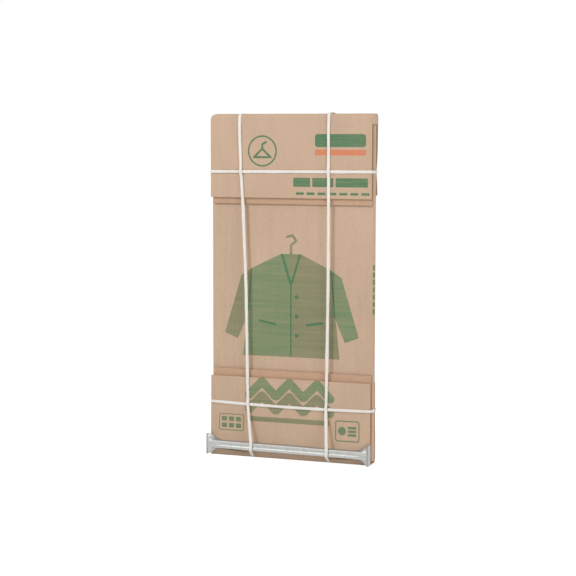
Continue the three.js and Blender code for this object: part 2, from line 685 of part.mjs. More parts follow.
// The origin lies on the ground under the middle of the whole pack, bar and twine included
const bounds = new THREE.Box3().setFromObject(pack, true);
pack.position.set(-(bounds.min.x + bounds.max.x) / 2, -(bounds.min.y + bounds.max.y) / 2, 0);

export default pack;
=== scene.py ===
"""Dresses the flat wardrobe moving box: a folded carton of double-wall board, its hanger bar and its twine.

Shapes are worked out in millimetres round the pack's middle layer gap and put into the frame in metres.
"""

import logging
import math
from dataclasses import dataclass, field
from enum import Enum

import bpy
import numpy as np
from mathutils import Matrix, Vector
from numpy.typing import NDArray


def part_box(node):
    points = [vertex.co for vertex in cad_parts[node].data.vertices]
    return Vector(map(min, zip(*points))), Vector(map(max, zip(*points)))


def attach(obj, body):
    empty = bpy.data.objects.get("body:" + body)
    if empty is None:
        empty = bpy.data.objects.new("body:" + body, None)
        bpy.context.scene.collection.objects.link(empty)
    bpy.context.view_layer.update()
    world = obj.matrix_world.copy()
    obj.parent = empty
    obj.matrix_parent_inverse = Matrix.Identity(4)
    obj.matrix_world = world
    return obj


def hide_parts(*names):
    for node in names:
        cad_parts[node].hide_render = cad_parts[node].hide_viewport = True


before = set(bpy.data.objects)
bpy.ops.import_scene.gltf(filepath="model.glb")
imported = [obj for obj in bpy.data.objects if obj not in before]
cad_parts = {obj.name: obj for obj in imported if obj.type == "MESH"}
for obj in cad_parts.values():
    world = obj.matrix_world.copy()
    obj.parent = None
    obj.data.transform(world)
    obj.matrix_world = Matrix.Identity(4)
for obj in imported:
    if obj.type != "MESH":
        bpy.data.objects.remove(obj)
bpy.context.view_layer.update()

Array = NDArray[np.float64]
MM = 0.001
report = logging.getLogger("wardrobe_box")


def linear(red: int, green: int, blue: int) -> tuple[float, float, float, float]:
    """The linear colour of a screen colour, by the standard curve of screens.

    Args:
        red: the colour's red, from 0 to 255.
        green: its green.
        blue: its blue.

    Returns:
        The linear colour, with full cover.
    """
    share = np.array([red, green, blue]) / 255
    value = np.where(share <= 0.04045, share / 12.92, ((share + 0.055) / 1.055) ** 2.4)
    return (*map(float, value), 1.0)


@dataclass(frozen=True)
class PackSizes:
    """The folded pack's sizes in millimetres, as the solids have them."""

    board: float = 6.2
    gap: float = 0.3
    panel_width: float = 614.0
    panel_height: float = 1219.0
    flap_length: float = 319.0
    flap_half: float = 307.5
    inner_half: float = 304.0
    inner_shift: float = 4.0
    bottom_slack: float = 3.25
    slack_height: float = 95.0
    foot_radius: float = 3.0
    back_stand_off: float = 13.0
    squeeze_span: float = 38.0
    upper_twine: float = 1039.0
    web_height: float = 38.0
    web_radius: float = 12.0
    top_crush: float = 22.0
    bottom_crush: float = 18.0

    @property
    def pitch(self) -> float:
        """From one layer's middle to the next."""
        return self.board + self.gap

    @property
    def half(self) -> float:
        """Half the board's thickness."""
        return self.board / 2

    @property
    def fold_x(self) -> float:
        """Distance across of the side folds' centres."""
        return self.panel_width / 2 - self.pitch / 2 - self.half

    @property
    def score_bottom(self) -> float:
        """Height of the bottom scores."""
        return 1.5 * self.pitch + self.half

    @property
    def score_top(self) -> float:
        """Height of the top scores."""
        return self.score_bottom + self.panel_height

    @property
    def top_z(self) -> float:
        """Height of the pack's top."""
        return self.score_top + 1.5 * self.pitch + self.half

    @property
    def spine_x(self) -> float:
        """Outer face of the spine."""
        return self.fold_x + 1.5 * self.pitch + self.half

    @property
    def flap_y(self) -> float:
        """Middle of an outer flap's board, where it lies close."""
        return 3.5 * self.pitch

    def slack_at(self, z: Array) -> Array:
        """How far the outer bottom flaps stand off at a height: full low down, none at their free edge."""
        edge = self.score_bottom + self.flap_length
        return self.bottom_slack * np.clip((edge - z) / (edge - self.slack_height), 0, 1)

    def spring_at(self, z: Array) -> Array:
        """How far the outer back flap springs off, above and below the twine that squeezes it."""
        return self.back_stand_off * (1 - 1 / (1 + ((z - self.upper_twine) / self.squeeze_span) ** 2))

    def origin(self) -> Array:
        """Where the pack's middle layer gap lies in the frame, read from the carton's own box.

        Returns:
            The place in millimetres.
        """
        low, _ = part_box("carton_blank")
        return np.array([low.x / MM + self.flap_half,
                         low.y / MM + self.flap_y + self.bottom_slack + self.half, 0.0])


PACK = PackSizes()
ORIGIN = PACK.origin()


@dataclass(frozen=True)
class Settling:
    """How the pack has settled: the bow of its layers, the twine's dents and the crushed corners."""

    bow: float = 0.7
    twine_dent: float = 1.1
    dent_width: float = 8.5
    edge_wave: float = 0.225
    wave_length: float = 61.0
    crumple: float = 0.8

    def bow_at(self, x: Array, z: Array) -> Array:
        """The shared bow of all layers: a sum of three long sine waves across and up the pack."""
        return self.bow * (0.5 * np.sin(x / 148 + 0.6) * np.cos(z / 236 - 0.4)
                           + 0.3 * np.sin(x / 83 - z / 310 + 1.9) + 0.2 * np.sin(z / 97 + x / 420))

    def dent_at(self, x: Array, z: Array) -> Array:
        """The dents under the level twine: a Gaussian across each loop.

        Args:
            x: the points' distances across.
            z: their heights.

        Returns:
            The dent's depth at each point.
        """
        upper = np.exp(-((z - np.interp(x, UPPER_X, UPPER_Z)) / self.dent_width) ** 2)
        lower = np.exp(-((z - np.interp(x, LOWER_X, LOWER_Z)) / self.dent_width) ** 2)
        return self.twine_dent * np.maximum(upper, lower)

    def crush(self, points: Array) -> Array:
        """Squeezes the top left and bottom right corners: the square corner maps onto a quarter disc.

        With u and v from 0 to 1 towards the corner, u becomes u sqrt(1 - v^2 / 2), and v likewise. A sine
        of both crumples the board there.

        Args:
            points: the points of a board's middle surface.

        Returns:
            The moved points.
        """
        points = points.copy()
        furthest = 1.02
        corners = ((-PACK.flap_half, PACK.top_z, -1, 1, PACK.top_crush),
                   (PACK.spine_x, 0.0, 1, -1, PACK.bottom_crush))
        for corner_x, corner_z, side_x, side_z, radius in corners:
            centre_x, centre_z = corner_x - side_x * radius, corner_z - side_z * radius
            u = np.clip(side_x * (points[..., 0] - centre_x) / radius, 0, furthest)
            v = np.clip(side_z * (points[..., 2] - centre_z) / radius, 0, furthest)
            inside = (u > 0) & (v > 0)
            squeezed_x = centre_x + side_x * radius * u * np.sqrt(1 - v ** 2 / 2)
            squeezed_z = centre_z + side_z * radius * v * np.sqrt(1 - u ** 2 / 2)
            points[..., 0] = np.where(inside, squeezed_x, points[..., 0])
            points[..., 2] = np.where(inside, squeezed_z, points[..., 2])
            crumple = self.crumple * np.sin(u * 9 + v * 4) * np.sin(v * 7) * u * v
            points[..., 1] += np.where(inside, crumple, 0.0)
        return points


SETTLING = Settling()
UPPER_X, UPPER_Z = np.array([-307.0, 0.0, 307.0]), np.array([1037.0, 1039.0, 1041.0])
LOWER_X = np.array([-307.0, -182.0, 0.0, 128.0, 279.0, 307.0])
LOWER_Z = np.array([197.5, 194.0, 191.5, 191.5, 193.7, 194.6])


def grid_lines(start: float, end: float, coarse: float, rim: float, dense: float | None = None,
               fine: float = 2.4, reach: float = 16.0) -> Array:
    """Places of grid lines, closer together where something bends.

    The density is 1 / coarse, raised to 1 / fine by a Gaussian round the dense place, and its running
    integral is cut into equal parts. Lines also lie one and three rims inside each end.

    Args:
        start: the first place, in millimetres.
        end: the last place.
        coarse: the usual distance between lines.
        rim: the width of the narrow strips at both ends.
        dense: the place that gets closer lines, if there is one.
        fine: the distance between lines there.
        reach: how far from there the lines stay close.

    Returns:
        The places, from start to end.
    """
    samples = 4001
    places = np.linspace(start, end, samples)
    density = np.full(places.shape, 1 / coarse)
    if dense is not None:
        density = np.maximum(density, np.exp(-((places - dense) / reach) ** 2) / fine)
    steps = (density[1:] + density[:-1]) / 2 * np.diff(places)
    total = np.concatenate([[0.0], np.cumsum(steps)])
    cuts = np.linspace(0, total[-1], max(round(total[-1]), 2) + 1)
    made = np.interp(cuts, total, places)
    kept = made[(made > start + 4 * rim) & (made < end - 4 * rim)]
    return np.concatenate([[start, start + rim, start + 3 * rim], kept, [end - 3 * rim, end - rim, end]])


def grid_quads(index: Array) -> Array:
    """The quads of a grid of vertex numbers, four numbers each, row after row."""
    return np.stack([index[:-1, :-1], index[:-1, 1:], index[1:, 1:], index[1:, :-1]], axis=-1).reshape(-1, 4)


@dataclass
class Profile:
    """A board's middle line seen on edge, as closely spaced points."""

    points: Array

    @staticmethod
    def arc(centre: tuple[float, float], radii: tuple[float, float], start: float, end: float,
            count: int = 49) -> Array:
        """Points of an elliptic arc between two angles in degrees."""
        angle = np.radians(np.linspace(start, end, count))
        return np.stack([centre[0] + radii[0] * np.cos(angle), centre[1] + radii[1] * np.sin(angle)], axis=1)

    @classmethod
    def through(cls, *stretches: Array) -> "Profile":
        """Joins stretches of points end to end and leaves doubled points out.

        Args:
            stretches: points, or lists of points, in order.

        Returns:
            The whole line.
        """
        smallest = 1e-6
        points = np.vstack([np.atleast_2d(stretch) for stretch in stretches])
        moved = np.linalg.norm(np.diff(points, axis=0), axis=1) > smallest
        return cls(points[np.concatenate([[True], moved])])

    @property
    def run(self) -> Array:
        """The length along the line up to each point."""
        return np.concatenate([[0.0], np.cumsum(np.linalg.norm(np.diff(self.points, axis=0), axis=1))])

    def at(self, lengths: Array) -> tuple[Array, Array]:
        """Points and left-hand normals at lengths along the line.

        Args:
            lengths: the lengths along the line, in millimetres.

        Returns:
            The points and the unit normals, two columns each.
        """
        run, reach = self.run, 0.4

        def read(places: Array) -> Array:
            """The line's points at those lengths."""
            return np.stack([np.interp(places, run, self.points[:, k]) for k in (0, 1)], axis=1)

        tangent = read(lengths + reach) - read(lengths - reach)
        tangent /= np.linalg.norm(tangent, axis=1, keepdims=True)
        return read(lengths), np.stack([-tangent[:, 1], tangent[:, 0]], axis=1)


class BoardFace(Enum):
    """The faces that a board shows, with their places among its materials."""

    OUTSIDE = 0
    INSIDE = 1
    CUT = 2


ALL_CUT = (BoardFace.CUT,) * 3


@dataclass
class MeshParts:
    """Closed shells gathered for one mesh."""

    vertices: list[Array] = field(default_factory=list)
    quads: list[Array] = field(default_factory=list)
    kinds: list[Array] = field(default_factory=list)
    uvs: list[Array] = field(default_factory=list)
    count: int = 0

    def add(self, vertices: Array, quads: Array, kinds: Array, uv: Array | None = None) -> None:
        """Adds one shell.

        Args:
            vertices: its points, in millimetres round the pack's middle.
            quads: its quads, by vertex number.
            kinds: each quad's material, by number.
            uv: its map, one row for each corner of each quad.
        """
        self.vertices.append(vertices.reshape(-1, 3))
        self.quads.append(quads + self.count)
        self.kinds.append(kinds)
        if uv is not None:
            self.uvs.append(uv)
        self.count += len(self.vertices[-1])

    def shell(self, surface: Array, outward: Array, low: float, high: float, closed: bool = False,
              kinds: tuple[BoardFace, BoardFace, BoardFace] = (BoardFace.OUTSIDE,) * 3) -> None:
        """Adds the closed shell between two offsets of a surface, with a strip along each open rim.

        Args:
            surface: grid of points, rows by columns by three.
            outward: unit normals on the same grid.
            low: the inner offset along the normals.
            high: the outer offset along the normals.
            closed: whether the last row joins the first one.
            kinds: the faces of the outer side, the inner side and the rim.
        """
        rows, columns = surface.shape[:2]
        index = np.arange(rows * columns).reshape(rows, columns)
        if closed:
            index = np.vstack([index, index[:1]])
        inner = index + rows * columns
        top, bottom = grid_quads(index), grid_quads(inner)[:, [0, 3, 2, 1]]
        rims = [(index[:-1, 0], index[1:, 0], inner[1:, 0], inner[:-1, 0]),
                (index[1:, -1], index[:-1, -1], inner[:-1, -1], inner[1:, -1])]
        if not closed:
            rims.append((index[0, 1:], index[0, :-1], inner[0, :-1], inner[0, 1:]))
            rims.append((index[-1, :-1], index[-1, 1:], inner[-1, 1:], inner[-1, :-1]))
        rim = np.vstack([np.stack(four, axis=-1) for four in rims])
        quads = np.vstack([top, bottom, rim])
        across = surface[0, 1] - surface[0, 0]
        along = surface[1, 0] - surface[0, 0]
        if np.dot(np.cross(across, along), outward[0, 0]) < 0:
            quads = quads[:, ::-1]
        numbers = np.concatenate([np.full(len(top), kinds[0].value), np.full(len(bottom), kinds[1].value),
                                  np.full(len(rim), kinds[2].value)])
        self.add(np.stack([surface + outward * high, surface + outward * low]), quads, numbers)

    def build(self, name: str, materials: list[bpy.types.Material],
              smooth_angle: float = 35.0) -> bpy.types.Object:
        """Puts the shells into one mesh object in metres and gives it its materials.

        Args:
            name: the piece's name.
            materials: the materials in the order of the faces' numbers.
            smooth_angle: edges sharper than this, in degrees, stay hard.

        Returns:
            The new object, at the origin.
        """
        vertices = (np.vstack(self.vertices) + ORIGIN) * MM
        quads = np.vstack(self.quads)
        mesh = bpy.data.meshes.new(name)
        mesh.vertices.add(len(vertices))
        mesh.vertices.foreach_set("co", vertices.astype(np.float32).ravel())
        mesh.loops.add(quads.size)
        mesh.loops.foreach_set("vertex_index", quads.astype(np.int32).ravel())
        mesh.polygons.add(len(quads))
        mesh.polygons.foreach_set("loop_start", np.arange(0, quads.size, 4, dtype=np.int32))
        mesh.polygons.foreach_set("material_index", np.concatenate(self.kinds).astype(np.int32))
        mesh.update(calc_edges=True)
        if self.uvs:
            layer = mesh.uv_layers.new(name="along")
            layer.data.foreach_set("uv", np.vstack(self.uvs).astype(np.float32).ravel())
        for material in materials:
            mesh.materials.append(material)
        mesh.validate()
        mesh.shade_smooth()
        mesh.set_sharp_from_angle(angle=math.radians(smooth_angle))
        piece = bpy.data.objects.new(name, mesh)
        bpy.context.scene.collection.objects.link(piece)
        return piece


def put_on(piece: bpy.types.Object, node: str) -> None:
    """Rides a piece on the pack's one body, in place of its CAD node, and reports it.

    Args:
        piece: the finished piece.
        node: the CAD node that it replaces.
    """
    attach(piece, "root")
    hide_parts(node)
    report.info("%s: %d faces, for %s", piece.name, len(piece.data.polygons), node)


class Shader:
    """A material's node tree, built one call for each node."""

    def __init__(self, name: str) -> None:
        """Starts a material with one Principled shader.

        Args:
            name: the material's name.
        """
        self.material = bpy.data.materials.new(name)
        self.material.use_nodes = True
        self.tree = self.material.node_tree
        self.surface = self.tree.nodes["Principled BSDF"]
        coordinates = self.tree.nodes.new("ShaderNodeTexCoord")
        self.place = coordinates.outputs["Object"]
        self.uv = coordinates.outputs["UV"]

    def node(self, kind: str, inputs: dict[str | int, object], **settings: object) -> bpy.types.Node:
        """Adds a node, sets its properties, and links or sets its inputs.

        Args:
            kind: the node's type.
            inputs: sockets to link or values to set, by the input's name or number.
            settings: the node's own properties.

        Returns:
            The new node.
        """
        made = self.tree.nodes.new(kind)
        for key, value in settings.items():
            setattr(made, key, value)
        for key, value in inputs.items():
            self.put(value, made.inputs[key])
        return made

    def put(self, value: object, socket: bpy.types.NodeSocket) -> None:
        """Links a socket to an input, or sets the input's own value.

        Args:
            value: the socket or the value.
            socket: the input.
        """
        if isinstance(value, bpy.types.NodeSocket):
            self.tree.links.new(value, socket)
        else:
            socket.default_value = value

    def paint(self, inputs: dict[str, object]) -> None:
        """Links or sets inputs of the surface, by name."""
        for name, value in inputs.items():
            self.put(value, self.surface.inputs[name])

    def maths(self, operation: str, *values: object, clamp: bool = False) -> bpy.types.NodeSocket:
        """The result of a Math node."""
        made = self.node("ShaderNodeMath", dict(enumerate(values)), operation=operation, use_clamp=clamp)
        return made.outputs[0]

    def vector(self, operation: str, *values: object) -> bpy.types.NodeSocket:
        """The result of a Vector Math node: its number for LENGTH and DOT_PRODUCT, else its vector."""
        made = self.node("ShaderNodeVectorMath", dict(enumerate(values)), operation=operation)
        return made.outputs["Value" if operation in ("LENGTH", "DOT_PRODUCT") else "Vector"]

    def noise(self, scale: float, detail: float = 2.0, stretch: tuple[float, float, float] = (1, 1, 1),
              place: bpy.types.NodeSocket | None = None) -> bpy.types.NodeSocket:
        """A noise texture's factor on stretched coordinates.

        Args:
            scale: the noise's scale, per metre.
            detail: its detail.
            stretch: factors on the coordinates before the noise reads them.
            place: the coordinates, if not the object's own.

        Returns:
            The factor, round about a half.
        """
        stretched = self.vector("MULTIPLY", place or self.place, stretch)
        made = self.node("ShaderNodeTexNoise", {"Vector": stretched, "Scale": scale, "Detail": detail})
        return made.outputs["Fac"]

    def blend(self, share: object, first: object, second: object, mode: str = "MIX") -> bpy.types.NodeSocket:
        """A colour mixed from two.

        Args:
            share: how much of the second one it takes.
            first: the first colour.
            second: the second colour.
            mode: the way of mixing.

        Returns:
            The mixed colour.
        """
        made = self.node("ShaderNodeMix", {}, data_type="RGBA", blend_type=mode)
        self.put(share, made.inputs[0])
        self.put(first, made.inputs[6])
        self.put(second, made.inputs[7])
        return made.outputs[2]

    def lit(self, colour: object, light: object) -> bpy.types.NodeSocket:
        """A colour made lighter or darker by a factor."""
        grey = self.node("ShaderNodeCombineColor", {0: light, 1: light, 2: light}).outputs[0]
        return self.blend(1.0, colour, grey, "MULTIPLY")

    def between(self, value: object, low: float, high: float, to_low: float = 0.0,
                to_high: float = 1.0) -> bpy.types.NodeSocket:
        """A value mapped from one range to another, and kept inside it.

        Args:
            value: the value.
            low: the start of its range.
            high: the end of its range.
            to_low: what the start becomes.
            to_high: what the end becomes.

        Returns:
            The mapped value.
        """
        made = self.node("ShaderNodeMapRange", {"Value": value, "From Min": low, "From Max": high,
                                                "To Min": to_low, "To Max": to_high})
        return made.outputs["Result"]

    def bump(self, height: object, distance: float, strength: float = 1.0) -> None:
        """Adds a bump on top of the bumps so far.

        Args:
            height: the pattern, from 0 to 1.
            distance: how far 1 stands up, in metres.
            strength: how much of the bump shows.
        """
        made = self.node("ShaderNodeBump", {"Height": height, "Distance": distance, "Strength": strength})
        before = self.surface.inputs["Normal"].links
        if before:
            self.put(before[0].from_socket, made.inputs["Normal"])
        self.put(made.outputs["Normal"], self.surface.inputs["Normal"])


@dataclass(frozen=True)
class Block:
    """A printed rectangle with rounded corners. line is the outline's width, or 0 where it is filled."""

    x: float
    z: float
    width: float
    height: float
    corner: float = 3.0
    line: float = 0.0

    def filled(self, shader: Shader, place: bpy.types.NodeSocket, inset: float) -> bpy.types.NodeSocket:
        """The filled block: how far a point lies outside the inner box, against the corner's radius.

        Args:
            shader: the shader that takes the nodes.
            place: the point across and up, in millimetres.
            inset: how far the edge is moved inwards.

        Returns:
            1 inside and 0 outside.
        """
        radius = max(self.corner - inset, 0.5)
        reach = (self.width / 2 - inset - radius, 0.0, self.height / 2 - inset - radius)
        offset = shader.vector("ABSOLUTE", shader.vector("SUBTRACT", place, (self.x, 0.0, self.z)))
        outside = shader.vector("MAXIMUM", shader.vector("SUBTRACT", offset, reach), (0.0, 0.0, 0.0))
        return Ink.edge(shader, shader.vector("LENGTH", outside), radius)

    def cover(self, shader: Shader, place: bpy.types.NodeSocket) -> bpy.types.NodeSocket:
        """The block's ink: the filled block, less a smaller one where it is an outline.

        Args:
            shader: the shader that takes the nodes.
            place: the point across and up, in millimetres.

        Returns:
            1 on the ink and 0 off it.
        """
        whole = self.filled(shader, place, 0.0)
        if not self.line:
            return whole
        return shader.maths("SUBTRACT", whole, self.filled(shader, place, self.line), clamp=True)


@dataclass(frozen=True)
class Stroke:
    """A printed line with round ends."""

    start: tuple[float, float]
    end: tuple[float, float]
    width: float

    def cover(self, shader: Shader, place: bpy.types.NodeSocket) -> bpy.types.NodeSocket:
        """The line's ink: the distance to the line's nearest point, against half its width.

        Args:
            shader: the shader that takes the nodes.
            place: the point across and up, in millimetres.

        Returns:
            1 on the ink and 0 off it.
        """
        run = np.array([self.end[0] - self.start[0], 0.0, self.end[1] - self.start[1]])
        length = float(np.dot(run, run)) or 1.0
        offset = shader.vector("SUBTRACT", place, (self.start[0], 0.0, self.start[1]))
        share = shader.vector("DOT_PRODUCT", offset, tuple(run / length))
        share = shader.maths("MULTIPLY", share, 1.0, clamp=True)
        foot = shader.node("ShaderNodeVectorMath", {0: tuple(run), "Scale": share}, operation="SCALE")
        away = shader.vector("SUBTRACT", offset, foot.outputs["Vector"])
        return Ink.edge(shader, shader.vector("LENGTH", away), self.width / 2)


@dataclass(frozen=True)
class Facet:
    """A printed convex outline, its corners in order, clockwise as seen from the front."""

    corners: tuple[tuple[float, float], ...]

    def cover(self, shader: Shader, place: bpy.types.NodeSocket) -> bpy.types.NodeSocket:
        """The outline's ink: the largest distance beyond any side's line, against zero.

        Args:
            shader: the shader that takes the nodes.
            place: the point across and up, in millimetres.

        Returns:
            1 on the ink and 0 off it.
        """
        beyond: bpy.types.NodeSocket | None = None
        for (x0, z0), (x1, z1) in zip(self.corners, self.corners[1:] + self.corners[:1]):
            length = math.hypot(x1 - x0, z1 - z0)
            normal = ((z0 - z1) / length, 0.0, (x1 - x0) / length)
            offset = shader.vector("DOT_PRODUCT", place, normal)
            side = shader.maths("SUBTRACT", offset, normal[0] * x0 + normal[2] * z0)
            beyond = side if beyond is None else shader.maths("MAXIMUM", beyond, side)
        return Ink.edge(shader, beyond, 0.0)


Mark = Block | Stroke | Facet


@dataclass(frozen=True)
class Ink:
    """A plain printing ink with its marks.

    strength is how much of the board it covers, and lined how much weaker it is between the flutes' ridges.
    """

    colour: tuple[float, float, float, float]
    marks: tuple[Mark, ...]
    strength: float = 0.95
    lined: float = 0.0

    @staticmethod
    def edge(shader: Shader, distance: bpy.types.NodeSocket, reach: float) -> bpy.types.NodeSocket:
        """1 within the reach and 0 beyond it, with an edge half a millimetre wide."""
        return shader.maths("MULTIPLY_ADD", distance, -2.0, 2.0 * reach + 0.5, clamp=True)

    def cover(self, shader: Shader, place: bpy.types.NodeSocket) -> bpy.types.NodeSocket:
        """The largest cover of all marks.

        Args:
            shader: the shader that takes the nodes.
            place: the point across and up, in millimetres.

        Returns:
            1 on the ink and 0 off it.
        """
        whole: bpy.types.NodeSocket | None = None
        for mark in self.marks:
            cover = mark.cover(shader, place)
            whole = cover if whole is None else shader.maths("MAXIMUM", whole, cover)
        return whole


GREEN = linear(62, 122, 84)
SOFT_GREEN = linear(98, 134, 94)
DULL_GREEN = linear(118, 129, 94)
ORANGE = linear(220, 128, 88)


def path(points: tuple[tuple[float, float], ...], width: float) -> tuple[Stroke, ...]:
    """Strokes from point to point."""
    return tuple(Stroke(start, end, width) for start, end in zip(points, points[1:]))


def chevron(x: float, z: float, reach: float, width: float) -> tuple[Stroke, ...]:
    """A mark that points up: two strokes that meet at (x, z)."""
    return path(((x - reach, z - reach), (x, z), (x + reach, z - reach)), width)


@dataclass(frozen=True)
class KraftFinish:
    """Brown kraft liner: its colour, cloudiness, fibres and the faint ridges of the flutes below it."""

    colour: tuple[float, float, float, float]
    cloud: float = 0.05
    fibre: float = 0.10
    fibre_height: float = 0.12
    fleck: float = 0.82
    ridge_pitch: float = 7.8
    ridge_height: float = 0.05
    roughness: float = 0.86
    gloss: float = 0.25

    def dress(self, name: str, inks: tuple[Ink, ...] = (),
              side_inks: tuple[Ink, ...] = ()) -> bpy.types.Material:
        """Makes the board's material.

        Args:
            name: the material's name.
            inks: the inks on the front, placed by distance across and height.
            side_inks: the inks on the spine, placed by depth and height.

        Returns:
            The material.
        """
        shader = Shader(name)
        millimetres = shader.vector("SUBTRACT", shader.vector("MULTIPLY", shader.place, (1 / MM,) * 3),
                                    tuple(float(v) for v in ORIGIN))
        axes = shader.node("ShaderNodeSeparateXYZ", {0: millimetres})
        x, y, z = (axes.outputs[k] for k in range(3))
        ridge = shader.maths("SINE", shader.maths("MULTIPLY", x, 2 * math.pi / self.ridge_pitch))
        fibres = shader.noise(900.0, 2.0, (1.0, 1.0, 0.35))
        colour = shader.lit(self.colour, self.light(shader, fibres))

        flat = shader.vector("MULTIPLY", millimetres, (1.0, 0.0, 1.0))
        on_front = shader.maths("LESS_THAN", y, -PACK.pitch)
        turned = shader.node("ShaderNodeCombineXYZ", {0: y, 2: z}).outputs[0]
        on_side = shader.maths("GREATER_THAN", x, PACK.fold_x + PACK.pitch)
        wear = self.wear(shader)
        for ink, place, where in ([(ink, flat, on_front) for ink in inks]
                                  + [(ink, turned, on_side) for ink in side_inks]):
            strength = shader.maths("MULTIPLY", wear, ink.strength)
            if ink.lined:
                lines = shader.between(ridge, -1.0, 1.0, 1 - ink.lined, 1.0)
                strength = shader.maths("MULTIPLY", strength, lines)
            cover = shader.maths("MULTIPLY", ink.cover(shader, place), where)
            colour = shader.blend(shader.maths("MULTIPLY", cover, strength), colour, ink.colour)

        shader.paint({"Base Color": colour, "Roughness": self.roughness, "Specular IOR Level": self.gloss})
        shader.bump(shader.between(ridge, -1.0, 1.0), self.ridge_height * MM)
        shader.bump(fibres, self.fibre_height * MM)
        return shader.material

    def light(self, shader: Shader, fibres: bpy.types.NodeSocket) -> bpy.types.NodeSocket:
        """The liner's light and dark: wide clouds, upright streaks, fine fibres and small dark flecks.

        Args:
            shader: the shader that takes the nodes.
            fibres: the noise of the fibres.

        Returns:
            A factor on the liner's colour, round about 1.
        """
        clouds = shader.noise(5.0, 3.0, (1.0, 1.0, 0.6))
        streaks = shader.noise(60.0, 3.0, (1.0, 1.0, 0.12))
        flecks = shader.noise(330.0, 1.0, (0.35, 1.0, 1.0))
        light = shader.between(flecks, 0.66, 0.74, 1.0, self.fleck)
        for pattern, depth in ((clouds, self.cloud), (streaks, self.cloud / 2), (fibres, self.fibre)):
            light = shader.maths("MULTIPLY", light, shader.between(pattern, 0.3, 0.7, 1 - depth, 1 + depth))
        return light

    def wear(self, shader: Shader) -> bpy.types.NodeSocket:
        """The print's wear: small spots and long faint bands where less ink has taken.

        Args:
            shader: the shader that takes the nodes.

        Returns:
            A factor on the ink's strength, up to 1.
        """
        spots = shader.between(shader.noise(420.0, 4.0), 0.32, 0.46, 0.72, 1.0)
        bands = shader.between(shader.noise(110.0, 3.0, (0.04, 1.0, 1.0)), 0.35, 0.65, 0.84, 1.0)
        return shader.maths("MULTIPLY", spots, bands)


@dataclass(frozen=True)
class CutFinish:
    """The cut edge of corrugated board: rough, darker paper."""

    colour: tuple[float, float, float, float] = linear(186, 150, 120)
    roughness: float = 0.95
    gloss: float = 0.15
    grain_height: float = 0.25

    def dress(self, name: str) -> bpy.types.Material:
        """Makes the material, with fine torn grain.

        Args:
            name: the material's name.

        Returns:
            The material.
        """
        shader = Shader(name)
        grain = shader.noise(700.0, 4.0)
        shade = shader.between(grain, 0.3, 0.7, 0.78, 1.08)
        shader.paint({"Base Color": shader.lit(self.colour, shade), "Roughness": self.roughness,
                      "Specular IOR Level": self.gloss})
        shader.bump(grain, self.grain_height * MM)
        return shader.material


@dataclass(frozen=True)
class ZincFinish:
    """Galvanised sheet steel: metal with soft mottling, drawing lines, grain and a painted shade along the
    fold of each lip.

    The painted fold shade lies fold_at on both sides of bar_middle, across the pack in millimetres.
    """

    colour: tuple[float, float, float, float] = linear(180, 181, 179)
    # Colour of the painted shade at the lips' folds: a dark line that stands in for the shade in each fold.
    painted_fold_shade: tuple[float, float, float, float] = linear(70, 70, 68)
    fold_shade_depth: float = 0.85
    roughness: float = 0.52
    metallic: float = 0.92
    bar_middle: float = -3.5
    fold_at: float = 309.5
    fold_shade_width: float = 2.4

    def dress(self, name: str) -> bpy.types.Material:
        """Makes the material: cells for the zinc's spangle, long streaks along the bar, fine grain and
        painted shade at the lips' folds.

        Args:
            name: the material's name.

        Returns:
            The material.
        """
        shader = Shader(name)
        cells = shader.node("ShaderNodeTexVoronoi", {"Vector": shader.place, "Scale": 130.0}).outputs["Color"]
        tone = shader.node("ShaderNodeSeparateColor", {0: cells}).outputs[0]
        streaks = shader.noise(240.0, 3.0, (0.06, 1.0, 1.0))
        light = shader.maths("MULTIPLY", shader.between(tone, 0.0, 1.0, 0.9, 1.04),
                             shader.between(streaks, 0.3, 0.7, 0.93, 1.05))
        # Painted shade: in a narrow band at each lip's fold, the metal is darkened towards the painted shade
        # colour.
        across = shader.node("ShaderNodeSeparateXYZ", {0: shader.place}).outputs[0]
        middle = float(ORIGIN[0] + self.bar_middle) * MM
        away = shader.maths("ABSOLUTE", shader.maths("SUBTRACT", across, middle))
        away = shader.maths("ABSOLUTE", shader.maths("SUBTRACT", away, self.fold_at * MM))
        painted_fold_shade = shader.between(away, 0.0, self.fold_shade_width * MM, self.fold_shade_depth, 0.0)
        rough = shader.maths("MULTIPLY", shader.between(streaks, 0.3, 0.7, 0.85, 1.2), self.roughness)
        shader.paint({"Base Color": shader.blend(painted_fold_shade, shader.lit(self.colour, light), self.painted_fold_shade),
                      "Metallic": self.metallic, "Roughness": rough})
        shader.bump(shader.noise(18.0, 1.0, (0.3, 1.0, 1.0)), 0.2 * MM)
        shader.bump(shader.noise(1400.0, 2.0), 0.02 * MM)
        return shader.material


@dataclass(frozen=True)
class TwineFinish:
    """Soft white twine: bunched, slightly twisted yarns with a downy surface."""

    colour: tuple[float, float, float, float] = linear(255, 253, 249)
    shade: tuple[float, float, float, float] = linear(238, 228, 214)
    yarns: int = 26
    slant: float = 3.0
    yarn_height: float = 0.14
    down_height: float = 0.2

    def dress(self, name: str) -> bpy.types.Material:
        """Makes the material on the twine's own map: yarn lines run along it at a slant.

        Args:
            name: the material's name.

        Returns:
            The material.
        """
        shader = Shader(name)
        axes = shader.node("ShaderNodeSeparateXYZ", {0: shader.uv})
        around, along = axes.outputs[0], axes.outputs[1]
        slant = shader.maths("MULTIPLY_ADD", along, self.slant, around)
        wave = shader.maths("SINE", shader.maths("MULTIPLY", slant, 2 * math.pi * self.yarns))
        fine = shader.noise(60.0, 3.0, (1.0, 14.0, 1.0), shader.uv)
        share = shader.between(shader.maths("MULTIPLY_ADD", wave, 0.25, fine), 0.1, 0.8)
        shader.paint({"Base Color": shader.blend(share, self.shade, self.colour), "Roughness": 0.9,
                      "Specular IOR Level": 0.2, "Sheen Weight": 0.35, "Sheen Roughness": 0.5})
        shader.bump(wave, self.yarn_height * MM)
        shader.bump(shader.noise(1500.0, 2.0), self.down_height * MM)
        return shader.material


